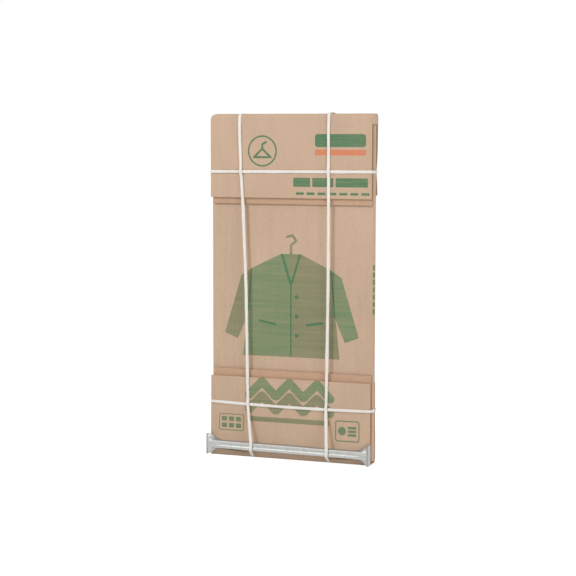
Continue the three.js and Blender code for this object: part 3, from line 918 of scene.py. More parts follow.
def top_flap_inks() -> tuple[Ink, ...]:
    """The top flap's print: a round badge, a green bar over an orange stripe, and plain bars low down.

    Returns:
        The inks, in the order of printing.
    """
    banner = (Block(190.0, 1150.0, 190.0, 46.0, 10.0),)
    hanger = ((-92.0, 1144.0), (-106.0, 1136.0), (-106.0, 1120.0), (-74.0, 1090.0), (-138.0, 1090.0),
              (-106.0, 1120.0))
    badge = (Block(-106.0, 1112.0, 112.0, 112.0, 56.0, 6.0), *path(hanger, 8.0))
    bold = tuple(Block(x, 1002.0, width, 32.0) for x, width in ((45.0, 64.0), (125.0, 80.0), (233.0, 120.0)))
    thin = tuple(Block(38.0 + 41.0 * k, 962.0, 30.0, 9.0, 1.5) for k in range(7))
    stripe = (Block(190.0, 1108.0, 190.0, 20.0, 4.0),)
    return Ink(ORANGE, stripe), Ink(GREEN, (*banner, *badge, *bold, *thin))


def wall_inks() -> tuple[Ink, ...]:
    """The wall's print: one large plain coat on a hanger, in two thin greens with darker seams.

    Returns:
        The inks, in the order of printing.
    """
    left = (Facet(((-38.0, 744.0), (0.0, 744.0), (0.0, 372.0), (-186.0, 372.0), (-152.0, 690.0))),
            Facet(((152.0, 690.0), (192.0, 664.0), (258.0, 452.0), (206.0, 432.0), (168.0, 520.0))))
    right = (Facet(((0.0, 744.0), (38.0, 744.0), (152.0, 690.0), (186.0, 372.0), (0.0, 372.0))),
             Facet(((-152.0, 690.0), (-168.0, 520.0), (-206.0, 432.0), (-258.0, 452.0), (-192.0, 664.0))))
    hook = path(((0.0, 744.0), (0.0, 776.0), (20.0, 792.0), (6.0, 812.0), (-14.0, 806.0)), 9.0)
    seams = (Stroke((-34.0, 740.0), (0.0, 632.0), 9.0), Stroke((34.0, 740.0), (0.0, 632.0), 9.0),
             Stroke((0.0, 632.0), (0.0, 376.0), 6.0), Stroke((-120.0, 500.0), (-62.0, 490.0), 9.0),
             Stroke((120.0, 500.0), (62.0, 490.0), 9.0), Stroke((-152.0, 686.0), (-168.0, 522.0), 5.0),
             Stroke((152.0, 686.0), (168.0, 522.0), 5.0))
    buttons = tuple(Stroke((22.0, z), (22.0, z), 15.0) for z in (590.0, 520.0, 450.0))
    return (Ink(SOFT_GREEN, left, 0.92, 0.12), Ink(DULL_GREEN, (*right, *hook), 0.92, 0.12),
            Ink(GREEN, (*seams, *buttons), 0.85))


def bottom_flap_inks() -> tuple[Ink, ...]:
    """The bottom flap's print: two rows of plain marks that point up, a frame of tiles and a small frame.

    Returns:
        The inks, in the order of printing.
    """
    places = (-106.0, 0.0, 106.0)
    upper_row, lower_row = (tuple(stroke for x in places for stroke in chevron(x, top, 50.0, 32.0))
                            for top in (280.0, 228.0))
    base = (Block(0.0, 142.0, 308.0, 18.0, 3.0),)
    small = (Block(222.0, 118.0, 92.0, 76.0, 10.0, 4.0), Stroke((202.0, 118.0), (202.0, 118.0), 30.0),
             *(Block(240.0, z, 32.0, 9.0, 1.5) for z in (131.0, 118.0, 105.0)))
    tiles = tuple(Block(-254.0 + 28.0 * column, 112.0 + 24.0 * row, 20.0, 16.0, 3.0)
                  for row in range(2) for column in range(3))
    return (Ink(SOFT_GREEN, upper_row, 0.92, 0.12), Ink(DULL_GREEN, (*lower_row, *base), 0.92, 0.12),
            Ink(GREEN, (*small, *tiles, Block(-226.0, 124.0, 98.0, 62.0, 8.0, 3.0)), 0.85))


def spine_inks() -> tuple[Ink, ...]:
    """The spine's print: a row of small plain bars, one above the other, placed by depth and height.

    Returns:
        The inks, in the order of printing.
    """
    bars = tuple(Block(-6.5, 548.0 + 26.0 * k, 8.0, 18.0, 1.0) for k in range(7))
    return (Ink(GREEN, bars, 0.85),)


@dataclass
class Carton:
    """The folded carton: its flattened tube of walls, eight flaps and the web at the spine's top.

    A step is the distance between a board's grid lines. root is how far a flap's board begins inside its
    wall, and rim how far the cores are set back from a cut edge.
    """

    liner: float = 0.55
    sheet: float = 0.4
    rim: float = 2.4
    flute_pitch: float = 7.8
    fine_flute: float = 0.8
    root: float = 3.0
    front_step: float = 9.0
    back_step: float = 12.0
    hidden_step: float = 90.0
    fold_step: float = 1.0
    spine_step: float = 1.9
    inner_spine_step: float = 1.3
    height_step: float = 11.0
    flap_step: float = 10.0
    inner_step: float = 26.0
    inner_across_step: float = 14.0
    top_bend: float = 62.0
    foot_bend: float = 34.0
    web_inset: float = 0.5
    web_round: float = 9.0
    outside: KraftFinish = KraftFinish(linear(203, 174, 149))
    inside: KraftFinish = KraftFinish(linear(199, 163, 135), cloud=0.04)
    cut: CutFinish = CutFinish()

    def laminate(self, parts: MeshParts, surface: Array, outward: Array, closed: bool = False,
                 turned: bool = False) -> None:
        """Adds one board: two liners, a middle liner and cores set back from each cut edge.

        Args:
            parts: the mesh that takes the board.
            surface: the board's middle surface, rows along its profile and columns across. Unless the rows
                join up, the last one is a cut edge too.
            outward: the unit normals towards the side that was the box's outside.
            closed: whether the rows join up.
            turned: whether the normals point to the box's inside instead.
        """
        half, liner = PACK.half, self.liner
        outer, inner = BoardFace.OUTSIDE, BoardFace.INSIDE
        if turned:
            outer, inner = inner, outer
        parts.shell(surface, outward, half - liner, half, closed, (outer, BoardFace.INSIDE, BoardFace.CUT))
        parts.shell(surface, outward, -half, -half + liner, closed, (BoardFace.INSIDE, inner, BoardFace.CUT))
        core = half - liner
        start, end = (slice(0, 3), slice(1, 3)), (slice(-3, None), slice(-3, -1))
        for whole, set_back in (start, end):
            parts.shell(surface[:, whole], outward[:, whole], -liner / 2, liner / 2, closed, ALL_CUT)
            parts.shell(surface[:, set_back], outward[:, set_back], -core, core, closed, ALL_CUT)
        if closed:
            return
        whole, set_back = end
        parts.shell(surface[whole], outward[whole], -liner / 2, liner / 2, False, ALL_CUT)
        parts.shell(surface[set_back], outward[set_back], -core, core, False, ALL_CUT)
        self.flutes(parts, surface[whole], outward[whole])

    def flutes(self, parts: MeshParts, surface: Array, outward: Array) -> None:
        """Adds the two fluted sheets that show at a cut edge.

        Each is a thin ribbon whose distance from the board's middle follows a sine across the edge.

        Args:
            parts: the mesh that takes them.
            surface: the last three rows of the board's middle surface.
            outward: the unit normals there.
        """
        across = surface[0, :, 0]
        samples, inset = 10, 1.0
        places = np.arange(across.min() + inset, across.max() - inset, self.flute_pitch / samples)
        order = np.argsort(across)

        def row_at(row: int, grid: Array) -> Array:
            """One row of the grid, read at the flutes' places."""
            return np.stack([np.interp(places, across[order], grid[row][order, k]) for k in range(3)], axis=1)

        fine_pitch = self.flute_pitch * self.fine_flute
        for low, high, pitch in ((self.liner / 2, PACK.half - self.liner, fine_pitch),
                                 (-PACK.half + self.liner, -self.liner / 2, self.flute_pitch)):
            height = (low + high) / 2 + (high - low - self.sheet) / 2 * np.sin(2 * np.pi * places / pitch)
            rows = np.stack([row_at(k, surface) + row_at(k, outward) * height[:, None] for k in (0, 2)])
            normals = np.stack([row_at(k, outward) for k in (0, 2)])
            parts.shell(rows, normals, -self.sheet / 2, self.sheet / 2, False, ALL_CUT)

    def settle(self, surface: Array, dented: bool = False) -> Array:
        """Bows, dents and crushes a board's middle surface, as the pack has settled.

        Args:
            surface: the points of the surface.
            dented: whether the level twine lies on it.

        Returns:
            The moved points.
        """
        x, z = surface[..., 0], surface[..., 2]
        moved = surface.copy()
        if dented:
            moved[..., 1] -= np.sign(surface[..., 1]) * SETTLING.dent_at(x, z)
        moved[..., 1] += SETTLING.bow_at(x, z)
        return SETTLING.crush(moved)

    def flap_surface(self, side: int, line: Profile, lengths: Array, across: Array) -> tuple[Array, Array]:
        """A flap's middle surface: its profile lies in the YZ plane and is carried across.

        Args:
            side: -1 at the front and 1 at the back.
            line: the flap's profile.
            lengths: the places along it.
            across: the distances across.

        Returns:
            The surface, and its unit normals away from the pack.
        """
        place, normal = line.at(lengths)
        surface = np.zeros((len(lengths), len(across), 3))
        outward = np.zeros_like(surface)
        surface[..., 0] = across
        surface[..., 1:] = place[:, None]
        outward[..., 1:] = normal[:, None]
        return surface, outward if np.mean(outward[-1, :, 1]) * side > 0 else -outward

    def walls(self) -> MeshParts:
        """The four walls: one flattened tube, folded in half round the spine.

        Its line lies in the XY plane: straight layers, joined by half circles, and carried straight up.

        Returns:
            The walls' shells.
        """
        pitch, fold = PACK.pitch, PACK.fold_x
        line = Profile.through(
            (-fold, -1.5 * pitch), (fold, -1.5 * pitch),
            Profile.arc((fold, 0), (1.5 * pitch,) * 2, -90, 90), (-fold, 1.5 * pitch),
            Profile.arc((-fold, pitch), (pitch / 2,) * 2, 90, 270), (fold, pitch / 2),
            Profile.arc((fold, 0), (pitch / 2,) * 2, 90, -90), (-fold, -pitch / 2),
            Profile.arc((-fold, -pitch), (pitch / 2,) * 2, 90, 270))
        width, fold_run, spine_run = 2 * fold, np.pi * pitch / 2, 1.5 * np.pi * pitch
        stretches = [(width, self.front_step), (spine_run, self.spine_step), (width, self.back_step),
                     (fold_run, self.fold_step), (width, self.hidden_step), (fold_run, self.inner_spine_step),
                     (width, self.hidden_step), (fold_run, self.fold_step)]
        pieces, start = [], 0.0
        for length, step in stretches:
            count = max(round(length / step), 2)
            pieces.append(start + length * np.arange(count) / count)
            start += length
        lengths = np.concatenate(pieces)
        heights = grid_lines(PACK.score_bottom, PACK.score_top, self.height_step, self.rim)
        place, normal = line.at(lengths)
        surface = np.zeros((len(lengths), len(heights), 3))
        outward = np.zeros_like(surface)
        surface[..., :2] = place[:, None]
        surface[..., 2] = heights
        outward[..., :2] = -normal[:, None]
        parts = MeshParts()
        self.laminate(parts, self.settle(surface), outward, closed=True)
        return parts

    def inner_flap(self, side: int, at_top: bool) -> MeshParts:
        """An inner flap, folded over its own wall: half an ellipse over the score, then straight.

        Args:
            side: -1 at the front and 1 at the back.
            at_top: whether it is a top flap.

        Returns:
            The flap's shells.
        """
        pitch = PACK.pitch
        up, score = (1, PACK.score_top) if at_top else (-1, PACK.score_bottom)
        start = 0.0 if side < 0 else 180.0
        bend = Profile.arc((side * 2 * pitch, score), (pitch / 2, up * pitch / 2), start, 180.0 - start)
        bend_run = np.pi * pitch / 2
        line = Profile.through(np.array([side * 1.5 * pitch, score - up * self.root]), bend,
                               np.array([side * 2.5 * pitch, score - up * (PACK.flap_length - bend_run)]))
        bent = np.linspace(0, self.root + bend_run, 14)
        flat = grid_lines(bent[-1], line.run[-1], self.inner_step, self.rim)[3:]
        lengths = np.concatenate([bent, flat[flat > bent[-1] + 1]])
        half = PACK.inner_half
        across = PACK.inner_shift + grid_lines(-half, half, self.inner_across_step, self.rim)
        surface, outward = self.flap_surface(side, line, lengths, across)
        parts = MeshParts()
        self.laminate(parts, self.settle(surface), outward, turned=True)
        return parts

    def outer_line(self, side: int, at_top: bool) -> Profile:
        """The middle line of an outer flap: over the top bend, or round the foot that is pressed flat.

        Args:
            side: -1 at the front and 1 at the back.
            at_top: whether it is a top flap.

        Returns:
            The line, in depths and heights, as long as the flap.
        """
        pitch, half = PACK.pitch, PACK.half
        rows = 160
        if at_top:
            drop = np.linspace(PACK.score_top, PACK.score_top - PACK.flap_length, rows)
            away = PACK.spring_at(drop) if side > 0 else np.zeros_like(drop)
            reach = (PACK.flap_y + away[0] - pitch / 2) / 2
            bend = Profile.arc((pitch / 2 + reach, PACK.score_top), (reach, 1.5 * pitch), 180, 0)
            start = np.array([pitch / 2, PACK.score_top - self.root])
            line = Profile.through(start, bend, np.stack([PACK.flap_y + away, drop], axis=1)[1:])
        else:
            radius = PACK.foot_radius + half
            flap_y = PACK.flap_y + PACK.bottom_slack
            rise = np.linspace(half + radius, PACK.score_bottom + PACK.flap_length, rows)
            line = Profile.through(
                np.array([pitch / 2, PACK.score_bottom + self.root]),
                Profile.arc((pitch / 2 + radius, half + radius), (radius,) * 2, 180, 270),
                Profile.arc((flap_y - radius, half + radius), (radius,) * 2, 270, 360),
                np.stack([PACK.flap_y + PACK.slack_at(rise), rise], axis=1)[1:])
        keep = line.run <= PACK.flap_length + self.root
        line.points = line.points[keep] * np.array([side, 1.0])
        return line

    def outer_flap(self, side: int, at_top: bool) -> MeshParts:
        """An outer flap, dented by the twine, with a faint sine wave across that grows towards its free edge.

        Args:
            side: -1 at the front and 1 at the back.
            at_top: whether it is a top flap.

        Returns:
            The flap's shells.
        """
        line = self.outer_line(side, at_top)
        run, heights = line.run, line.points[:, 1]
        bend_end = self.root + (self.top_bend if at_top else self.foot_bend)
        twine = PACK.upper_twine if at_top else float(LOWER_Z[2])
        rising = slice(None, None, -1 if at_top else 1)
        twine_run = float(np.interp(twine, heights[rising], run[rising]))
        flat = grid_lines(bend_end, run[-1], self.flap_step, self.rim, twine_run)[3:]
        lengths = np.concatenate([np.linspace(0, bend_end, 34), flat[flat > bend_end + 2]])
        across = grid_lines(-PACK.flap_half, PACK.flap_half, self.height_step, self.rim)
        surface, outward = self.flap_surface(side, line, lengths, across)
        nearness = np.clip(lengths / run[-1], 0, 1)[:, None] ** 3
        wave = np.sin(across / SETTLING.wave_length + side)[None, :]
        surface[..., 1] += side * SETTLING.edge_wave * nearness * wave
        parts = MeshParts()
        self.laminate(parts, self.settle(surface, dented=True), outward)
        return parts

    def web(self) -> MeshParts:
        """The board left uncut over the spine's top corner.

        It is a hood: a U-shaped line round the spine, moved inwards by r (1 - cos a) and up by r sin a, and
        closed by a lid that draws the line together to a short ridge.

        Returns:
            The web's shell.
        """
        radius, ridge_reach, ridge_share = PACK.web_radius, 2.0, 0.02
        start_x = PACK.spine_x + PACK.gap + PACK.half - radius
        front_y, back_y = self.web_inset - PACK.flap_y, 1.5 * PACK.pitch + PACK.half
        line = Profile.through(
            Profile.arc((start_x, front_y + radius), (radius,) * 2, -90, 0),
            Profile.arc((start_x, back_y - radius), (radius,) * 2, 0, 90))
        lengths = np.linspace(0, line.run[-1], 72)
        place, normal = line.at(lengths)
        edge = PACK.top_z - PACK.half - self.web_round
        skirt = np.linspace(PACK.top_z - PACK.web_height, edge, 8)[:-1]
        angle = np.radians(np.linspace(0, 90, 11))
        rise = np.concatenate([skirt, edge + self.web_round * np.sin(angle)])
        inset = np.concatenate([np.zeros_like(skirt), self.web_round * (1 - np.cos(angle))])
        lean = np.concatenate([np.zeros_like(skirt), angle])
        lid = np.linspace(0, 1, 7)[1:]
        surface = np.zeros((len(lengths), len(rise) + len(lid), 3))
        outward = np.zeros_like(surface)
        wall, cover = slice(0, len(rise)), slice(len(rise), None)
        surface[:, wall, :2] = place[:, None] + normal[:, None] * inset[None, :, None]
        surface[:, wall, 2] = rise
        outward[:, wall, :2] = -normal[:, None] * np.cos(lean)[None, :, None]
        outward[:, wall, 2] = np.sin(lean)
        rim_point = surface[:, len(rise) - 1]
        centre_y = (back_y + front_y) / 2
        ridge = rim_point.copy()
        ridge[:, 0] = np.minimum(rim_point[:, 0], start_x + ridge_reach)
        ridge[:, 1] = centre_y + (rim_point[:, 1] - centre_y) * ridge_share
        share = lid[None, :, None]
        surface[:, cover] = rim_point[:, None] * (1 - share) + ridge[:, None] * share
        outward[:, cover, 2] = 1.0
        surface[..., 0] = np.maximum(surface[..., 0], start_x)
        parts = MeshParts()
        parts.shell(self.settle(surface), outward, -PACK.half, PACK.half, False, tuple(BoardFace))
        return parts

    def build(self) -> None:
        """Builds the carton's boards and dresses them."""
        inside = self.inside.dress("kraft_inside")
        cut = self.cut.dress("board_cut_edge")
        wall = self.outside.dress("kraft_wall_print", wall_inks(), spine_inks())
        plain = self.outside.dress("kraft_plain")
        top = self.outside.dress("kraft_top_flap_print", top_flap_inks())
        bottom = self.outside.dress("kraft_bottom_flap_print", bottom_flap_inks())
        boards = [("carton_walls", self.walls(), wall)]
        for side, place, high, low in ((-1, "front", top, bottom), (1, "back", plain, plain)):
            boards += [(f"{place}_top_inner_flap", self.inner_flap(side, True), plain),
                       (f"{place}_bottom_inner_flap", self.inner_flap(side, False), plain),
                       (f"{place}_top_outer_flap", self.outer_flap(side, True), high),
                       (f"{place}_bottom_outer_flap", self.outer_flap(side, False), low)]
        boards.append(("spine_top_web", self.web(), plain))
        for name, parts, outer in boards:
            put_on(parts.build(name, [outer, inside, cut]), "carton_blank")


@dataclass
class HangerBar:
    """The hanger bar, pressed from one strip: a channel that opens flat at both ends, with lips.

    dimple is a dent's place along the face, its depth and its width, and waves are the depths and lengths
    of the face's unevenness.
    """

    length: float = 625.0
    thickness: float = 1.2
    channel_half: float = 13.75
    bend_radius: float = 3.5
    end_half: float = 37.5
    flare_length: float = 62.0
    flare_power: float = 1.35
    groove_half: float = 6.0
    groove_depth: float = 2.2
    groove_end: float = 0.8
    lip_depth: float = 27.5
    lip_radius: float = 2.5
    lip_taper: float = 2.25
    tilt: float = math.radians(0.45)
    side_clearance: float = 0.3
    ground_clearance: float = 0.5
    seat: float = 0.3
    dimple: tuple[float, float, float] = (-190.0, 1.3, 7.0)
    dimple_height: float = 2.0
    face_depth: float = 8.0
    waves: tuple[tuple[float, float], ...] = ((0.25, 71.0), (0.12, 23.0))
    finish: ZincFinish = ZincFinish()

    @property
    def wall(self) -> float:
        """The channel's straight wall, from what the flat strip has left."""
        return self.end_half - (self.channel_half - self.bend_radius) - self.bend_radius * math.pi / 2

    @property
    def front_y(self) -> float:
        """The bar's front face."""
        flap_face = PACK.flap_y + PACK.bottom_slack + PACK.half
        return -(flap_face + self.seat + self.bend_radius + self.wall)

    def centre(self) -> tuple[float, float]:
        """The bar's middle, across and up."""
        x = PACK.flap_half + self.side_clearance + self.thickness - self.length / 2
        return x, self.end_half + self.ground_clearance + math.sin(self.tilt) * self.length / 2

    def half_section(self, opening: Array, groove: Array) -> tuple[Array, Array]:
        """Half sections from the face's middle to the wall's edge.

        The groove is half a cosine deep, the bend an arc of the opening angle, and the wall straight.

        Args:
            opening: the wall's angle at each station, 90 degrees for the channel.
            groove: the groove's depth at each station.

        Returns:
            Heights and depths behind the face, stations by points.
        """
        face_half = self.channel_half - self.bend_radius
        share = np.linspace(0, 1, 9)
        height = [np.tile(share * self.groove_half, (len(opening), 1)), np.full((len(opening), 1), face_half)]
        depth = [groove[:, None] * (1 + np.cos(np.pi * share)) / 2, np.zeros((len(opening), 1))]
        angle = opening[:, None] * np.linspace(0, 1, 8)[None, 1:]
        height.append(face_half + self.bend_radius * np.sin(angle))
        depth.append(self.bend_radius * (1 - np.cos(angle)))
        wall_length = self.wall + self.bend_radius * (np.pi / 2 - opening)
        wall = wall_length[:, None] * np.linspace(0, 1, 7)[None, 1:]
        height.append(height[-1][:, -1:] + wall * np.cos(opening)[:, None])
        depth.append(depth[-1][:, -1:] + wall * np.sin(opening)[:, None])
        return np.hstack(height), np.hstack(depth)

    def face(self) -> tuple[Array, Array]:
        """The whole bar's outer surface, before it is placed.

        From the middle to an end, the channel opens by the square of a sine, its groove fades, the strip
        turns back by a quarter circle, and the lip tapers. The other half is its mirror image. A Gaussian
        dimple and two slow sine waves along the face keep it from looking ruled.

        Returns:
            The surface, and its unit normals away from the pack.
        """
        land_end = self.length / 2 - self.lip_radius
        near = np.linspace(0, 1, 40)
        turn = np.radians(np.linspace(0, 90, 8))[1:]
        lip = np.linspace(0, 1, 6)[1:]
        middle = np.linspace(0, land_end - self.flare_length, 60)[:-1]
        beyond = np.zeros(len(turn) + len(lip))
        spread = np.sin(np.pi / 2 * near ** self.flare_power) ** 2
        fade = np.clip(near / self.groove_end, 0, 1)
        x = np.concatenate([middle, land_end - self.flare_length * (1 - near),
                            land_end + self.lip_radius * np.sin(turn), np.full(len(lip), self.length / 2)])
        back = np.concatenate([np.zeros(len(middle) + len(near)), self.lip_radius * (1 - np.cos(turn)),
                               self.lip_radius + (self.lip_depth - self.lip_radius) * lip])
        opening = np.concatenate([np.full(len(middle), np.pi / 2), np.arccos(spread), beyond])
        groove = np.concatenate([np.full(len(middle), self.groove_depth),
                                 self.groove_depth * (1 - fade ** 2 * (3 - 2 * fade)), beyond])
        taper = np.concatenate([np.zeros(len(x) - len(lip)), lip]) * self.lip_taper / self.end_half
        height, depth = self.half_section(opening, groove)
        height = np.hstack([-height[:, :0:-1], height]) * (1 - taper)[:, None]
        depth = np.hstack([depth[:, :0:-1], depth]) + back[:, None]
        right = np.stack([np.broadcast_to(x[:, None], height.shape), depth, height], axis=-1)
        surface = np.concatenate([right[:0:-1] * np.array([-1.0, 1.0, 1.0]), right])
        place, pit_depth, pit_size = self.dimple
        away = (surface[..., 0] - place) ** 2 + (surface[..., 2] - self.dimple_height) ** 2
        pit = pit_depth * np.exp(-away / pit_size ** 2)
        surface[..., 1] += np.where(surface[..., 1] < self.face_depth, pit, 0.0)
        surface[..., 1] += sum(depth * np.sin(surface[..., 0] / length) for depth, length in self.waves)
        normal = np.cross(np.gradient(surface, axis=0), np.gradient(surface, axis=1))
        normal /= np.linalg.norm(normal, axis=-1, keepdims=True)
        faces_back = normal[len(normal) // 2, normal.shape[1] // 2, 1] > 0
        return surface, -normal if faces_back else normal

    def build(self) -> None:
        """Builds the bar as one closed shell and dresses it."""
        surface, outward = self.face()
        centre_x, centre_z = self.centre()
        cosine, sine = math.cos(self.tilt), math.sin(self.tilt)
        turn = np.array([[cosine, 0.0, sine], [0.0, 1.0, 0.0], [-sine, 0.0, cosine]])
        surface = surface @ turn.T + np.array([centre_x, self.front_y, centre_z])
        parts = MeshParts()
        parts.shell(surface, outward @ turn.T, -self.thickness, 0.0)
        put_on(parts.build("pressed_hanger_bar", [self.finish.dress("zinc_sheet")], 50.0), "hanger_bar")


class Turn(Enum):
    """How gently twine turns at a corner of its route: the turn's reach in millimetres."""

    NONE = 0.0
    FINE = 2.0
    TIGHT = 4.0
    EASY = 6.0
    GENTLE = 8.0
    SLOW = 20.0
    LONG = 60.0


@dataclass
class Corner:
    """A corner point of a loop's route, with its turn."""

    x: float
    y: float
    z: float
    turn: Turn = Turn.NONE


def rounded_route(corners: list[Corner], step: float) -> Array:
    """A closed route through corner points, each turned by a quadratic curve.

    Args:
        corners: the corner points in order.
        step: the distance between the route's points.

    Returns:
        The route's points, evenly spaced.
    """
    least, most = 0.8, 0.45
    places = np.array([[corner.x, corner.y, corner.z] for corner in corners])
    radii = np.array([corner.turn.value for corner in corners])
    to_before, to_after = np.roll(places, 1, axis=0) - places, np.roll(places, -1, axis=0) - places
    before, after = np.linalg.norm(to_before, axis=1), np.linalg.norm(to_after, axis=1)
    reach = np.minimum(np.maximum(radii, least), most * np.minimum(before, after))
    start = places + to_before * (reach / before)[:, None]
    end = places + to_after * (reach / after)[:, None]
    t = np.linspace(0, 1, 9)[None, :, None]
    curve = (1 - t) ** 2 * start[:, None] + 2 * t * (1 - t) * places[:, None] + t ** 2 * end[:, None]
    points = curve.reshape(-1, 3)
    points = np.vstack([points, points[:1]])
    run = np.concatenate([[0.0], np.cumsum(np.linalg.norm(np.diff(points, axis=0), axis=1))])
    lengths = np.linspace(0, run[-1], round(run[-1] / step) + 1)[:-1]
    return np.stack([np.interp(lengths, run, points[:, k]) for k in range(3)], axis=1)


@dataclass
class Twine:
    """Bunched twine: a flattened section with soft yarn lobes that twist slowly along it."""

    width: float = 10.8
    thickness: float = 4.4
    power: float = 0.72
    lobes: int = 9
    lobe_depth: float = 0.07
    strands: int = 5
    strand_depth: float = 0.03
    strand_twist: float = 2.6
    twist: float = 95.0
    blunt: float = 0.35
    sides: int = 40
    step: float = 3.2
    seat: float = 0.3

    def carry(self, parts: MeshParts, route: Array, across: Array, seed: float, closed: bool = True) -> None:
        """Carries the section along a route.

        The section is a superellipse. Its radius swells by a sine of the angle round it plus the length
        along over the twist, which makes the yarns, and by a fainter one that turns the other way. The
        width breathes with two slow sines.

        Args:
            parts: the mesh that takes the twine.
            route: points along the middle of the twine.
            across: the direction of its width.
            seed: shifts the slow swelling, so that no two loops are alike.
            closed: whether the route joins up. An open end is drawn in to a blunt tip.
        """
        if closed:
            tangent = np.roll(route, -1, axis=0) - np.roll(route, 1, axis=0)
        else:
            tangent = np.gradient(route, axis=0)
        tangent /= np.linalg.norm(tangent, axis=1, keepdims=True)
        wide = across - tangent * (tangent @ across)[:, None]
        wide /= np.linalg.norm(wide, axis=1, keepdims=True)
        thick = np.cross(tangent, wide)
        gaps = np.linalg.norm(np.diff(route, axis=0), axis=1)
        run = np.concatenate([[0.0], np.cumsum(gaps)])[:, None]
        angle = 2 * np.pi * (np.arange(self.sides) + 0.5)[None, :] / self.sides
        turns = 2 * np.pi * np.round(run[-1] / self.twist) / run[-1]
        swell = 1 + self.lobe_depth * np.sin(self.lobes * angle + turns * run)
        against = self.strands * angle - self.strand_twist * turns * run + seed
        swell = swell + self.strand_depth * np.sin(against)
        breath = 1 + 0.05 * np.sin(run / 47 + seed) + 0.04 * np.sin(run / 18.3 + 2 * seed)
        cosine, sine = np.cos(angle), np.sin(angle)
        across_part = np.sign(cosine) * np.abs(cosine) ** self.power * self.width / 2 * breath
        out_part = np.sign(sine) * np.abs(sine) ** self.power * self.thickness / 2 * (2 - breath)
        if not closed:
            ends = np.minimum(run, run[-1] - run)
            swell = swell * np.clip(ends / (1.2 * self.thickness) + self.blunt, 0, 1)
        points = (route[:, None] + wide[:, None] * (across_part * swell)[..., None]
                  + thick[:, None] * (out_part * swell)[..., None])
        if closed:
            self.skin_loop(parts, points, run[:, 0])
        else:
            self.skin_tail(parts, points)

    @staticmethod
    def facing_in(points: Array) -> bool:
        """Whether the quads of a tube's grid of points face its middle."""
        facing = np.cross(points[0, 1] - points[0, 0], points[1, 0] - points[0, 0])
        return bool(np.dot(facing, points[0, 0] - points[0].mean(axis=0)) < 0)

    def skin_loop(self, parts: MeshParts, points: Array, run: Array) -> None:
        """Adds a tube that joins up, with a map of its angle and its length along.

        Args:
            parts: the mesh that takes it.
            points: the tube's rings of points.
            run: the length along it of each ring, in millimetres.
        """
        rows, sides = points.shape[:2]
        index = np.arange(rows * sides).reshape(rows, sides)
        index = np.hstack([index, index[:, :1]])
        quads = grid_quads(np.vstack([index, index[:1]]))
        lengths = np.append(run, run[-1] + self.step) * MM
        turn = np.linspace(0, 1, sides + 1)
        u0, v0 = np.meshgrid(turn[:-1], lengths[:-1])
        u1, v1 = np.meshgrid(turn[1:], lengths[1:])
        uv = np.stack([np.stack([u0, v0], -1), np.stack([u1, v0], -1), np.stack([u1, v1], -1),
                       np.stack([u0, v1], -1)], axis=2).reshape(-1, 4, 2)
        if self.facing_in(points):
            quads, uv = quads[:, ::-1], uv[:, ::-1]
        parts.add(points, quads, np.zeros(len(quads)), uv.reshape(-1, 2))

    def skin_tail(self, parts: MeshParts, points: Array) -> None:
        """Adds a tube with two ends, each closed by a narrow ring of quads and rows of quads inside it.

        Args:
            parts: the mesh that takes it.
            points: the tube's rings of points.
        """
        tip_share = 0.04
        rows, sides = points.shape[:2]
        index = np.arange(rows * sides).reshape(rows, sides)
        middles = points[[0, -1]].mean(axis=1)
        rings = middles[:, None] + (points[[0, -1]] - middles[:, None]) * tip_share
        vertices = np.vstack([points.reshape(-1, 3), rings.reshape(-1, 3)])
        base = rows * sides
        turn = np.arange(sides)
        after = (turn + 1) % sides
        start = np.stack([after, turn, base + turn, base + after], axis=-1)
        last_ring, last_tip = base - sides, base + sides
        end = np.stack([last_ring + turn, last_ring + after, last_tip + after, last_tip + turn], axis=-1)
        pairs = np.arange(sides // 2 - 1)
        first_cap, last_cap = (np.stack([ring + pairs, ring + pairs + 1, ring + sides - 2 - pairs,
                                         ring + sides - 1 - pairs], axis=-1) for ring in (base, last_tip))
        body = grid_quads(np.hstack([index, index[:, :1]]))
        quads = np.vstack([body, start, end, first_cap, last_cap[:, ::-1]])
        if self.facing_in(points):
            quads = quads[:, ::-1]
        parts.add(vertices, quads, np.zeros(len(quads)), np.zeros((quads.size, 2)))


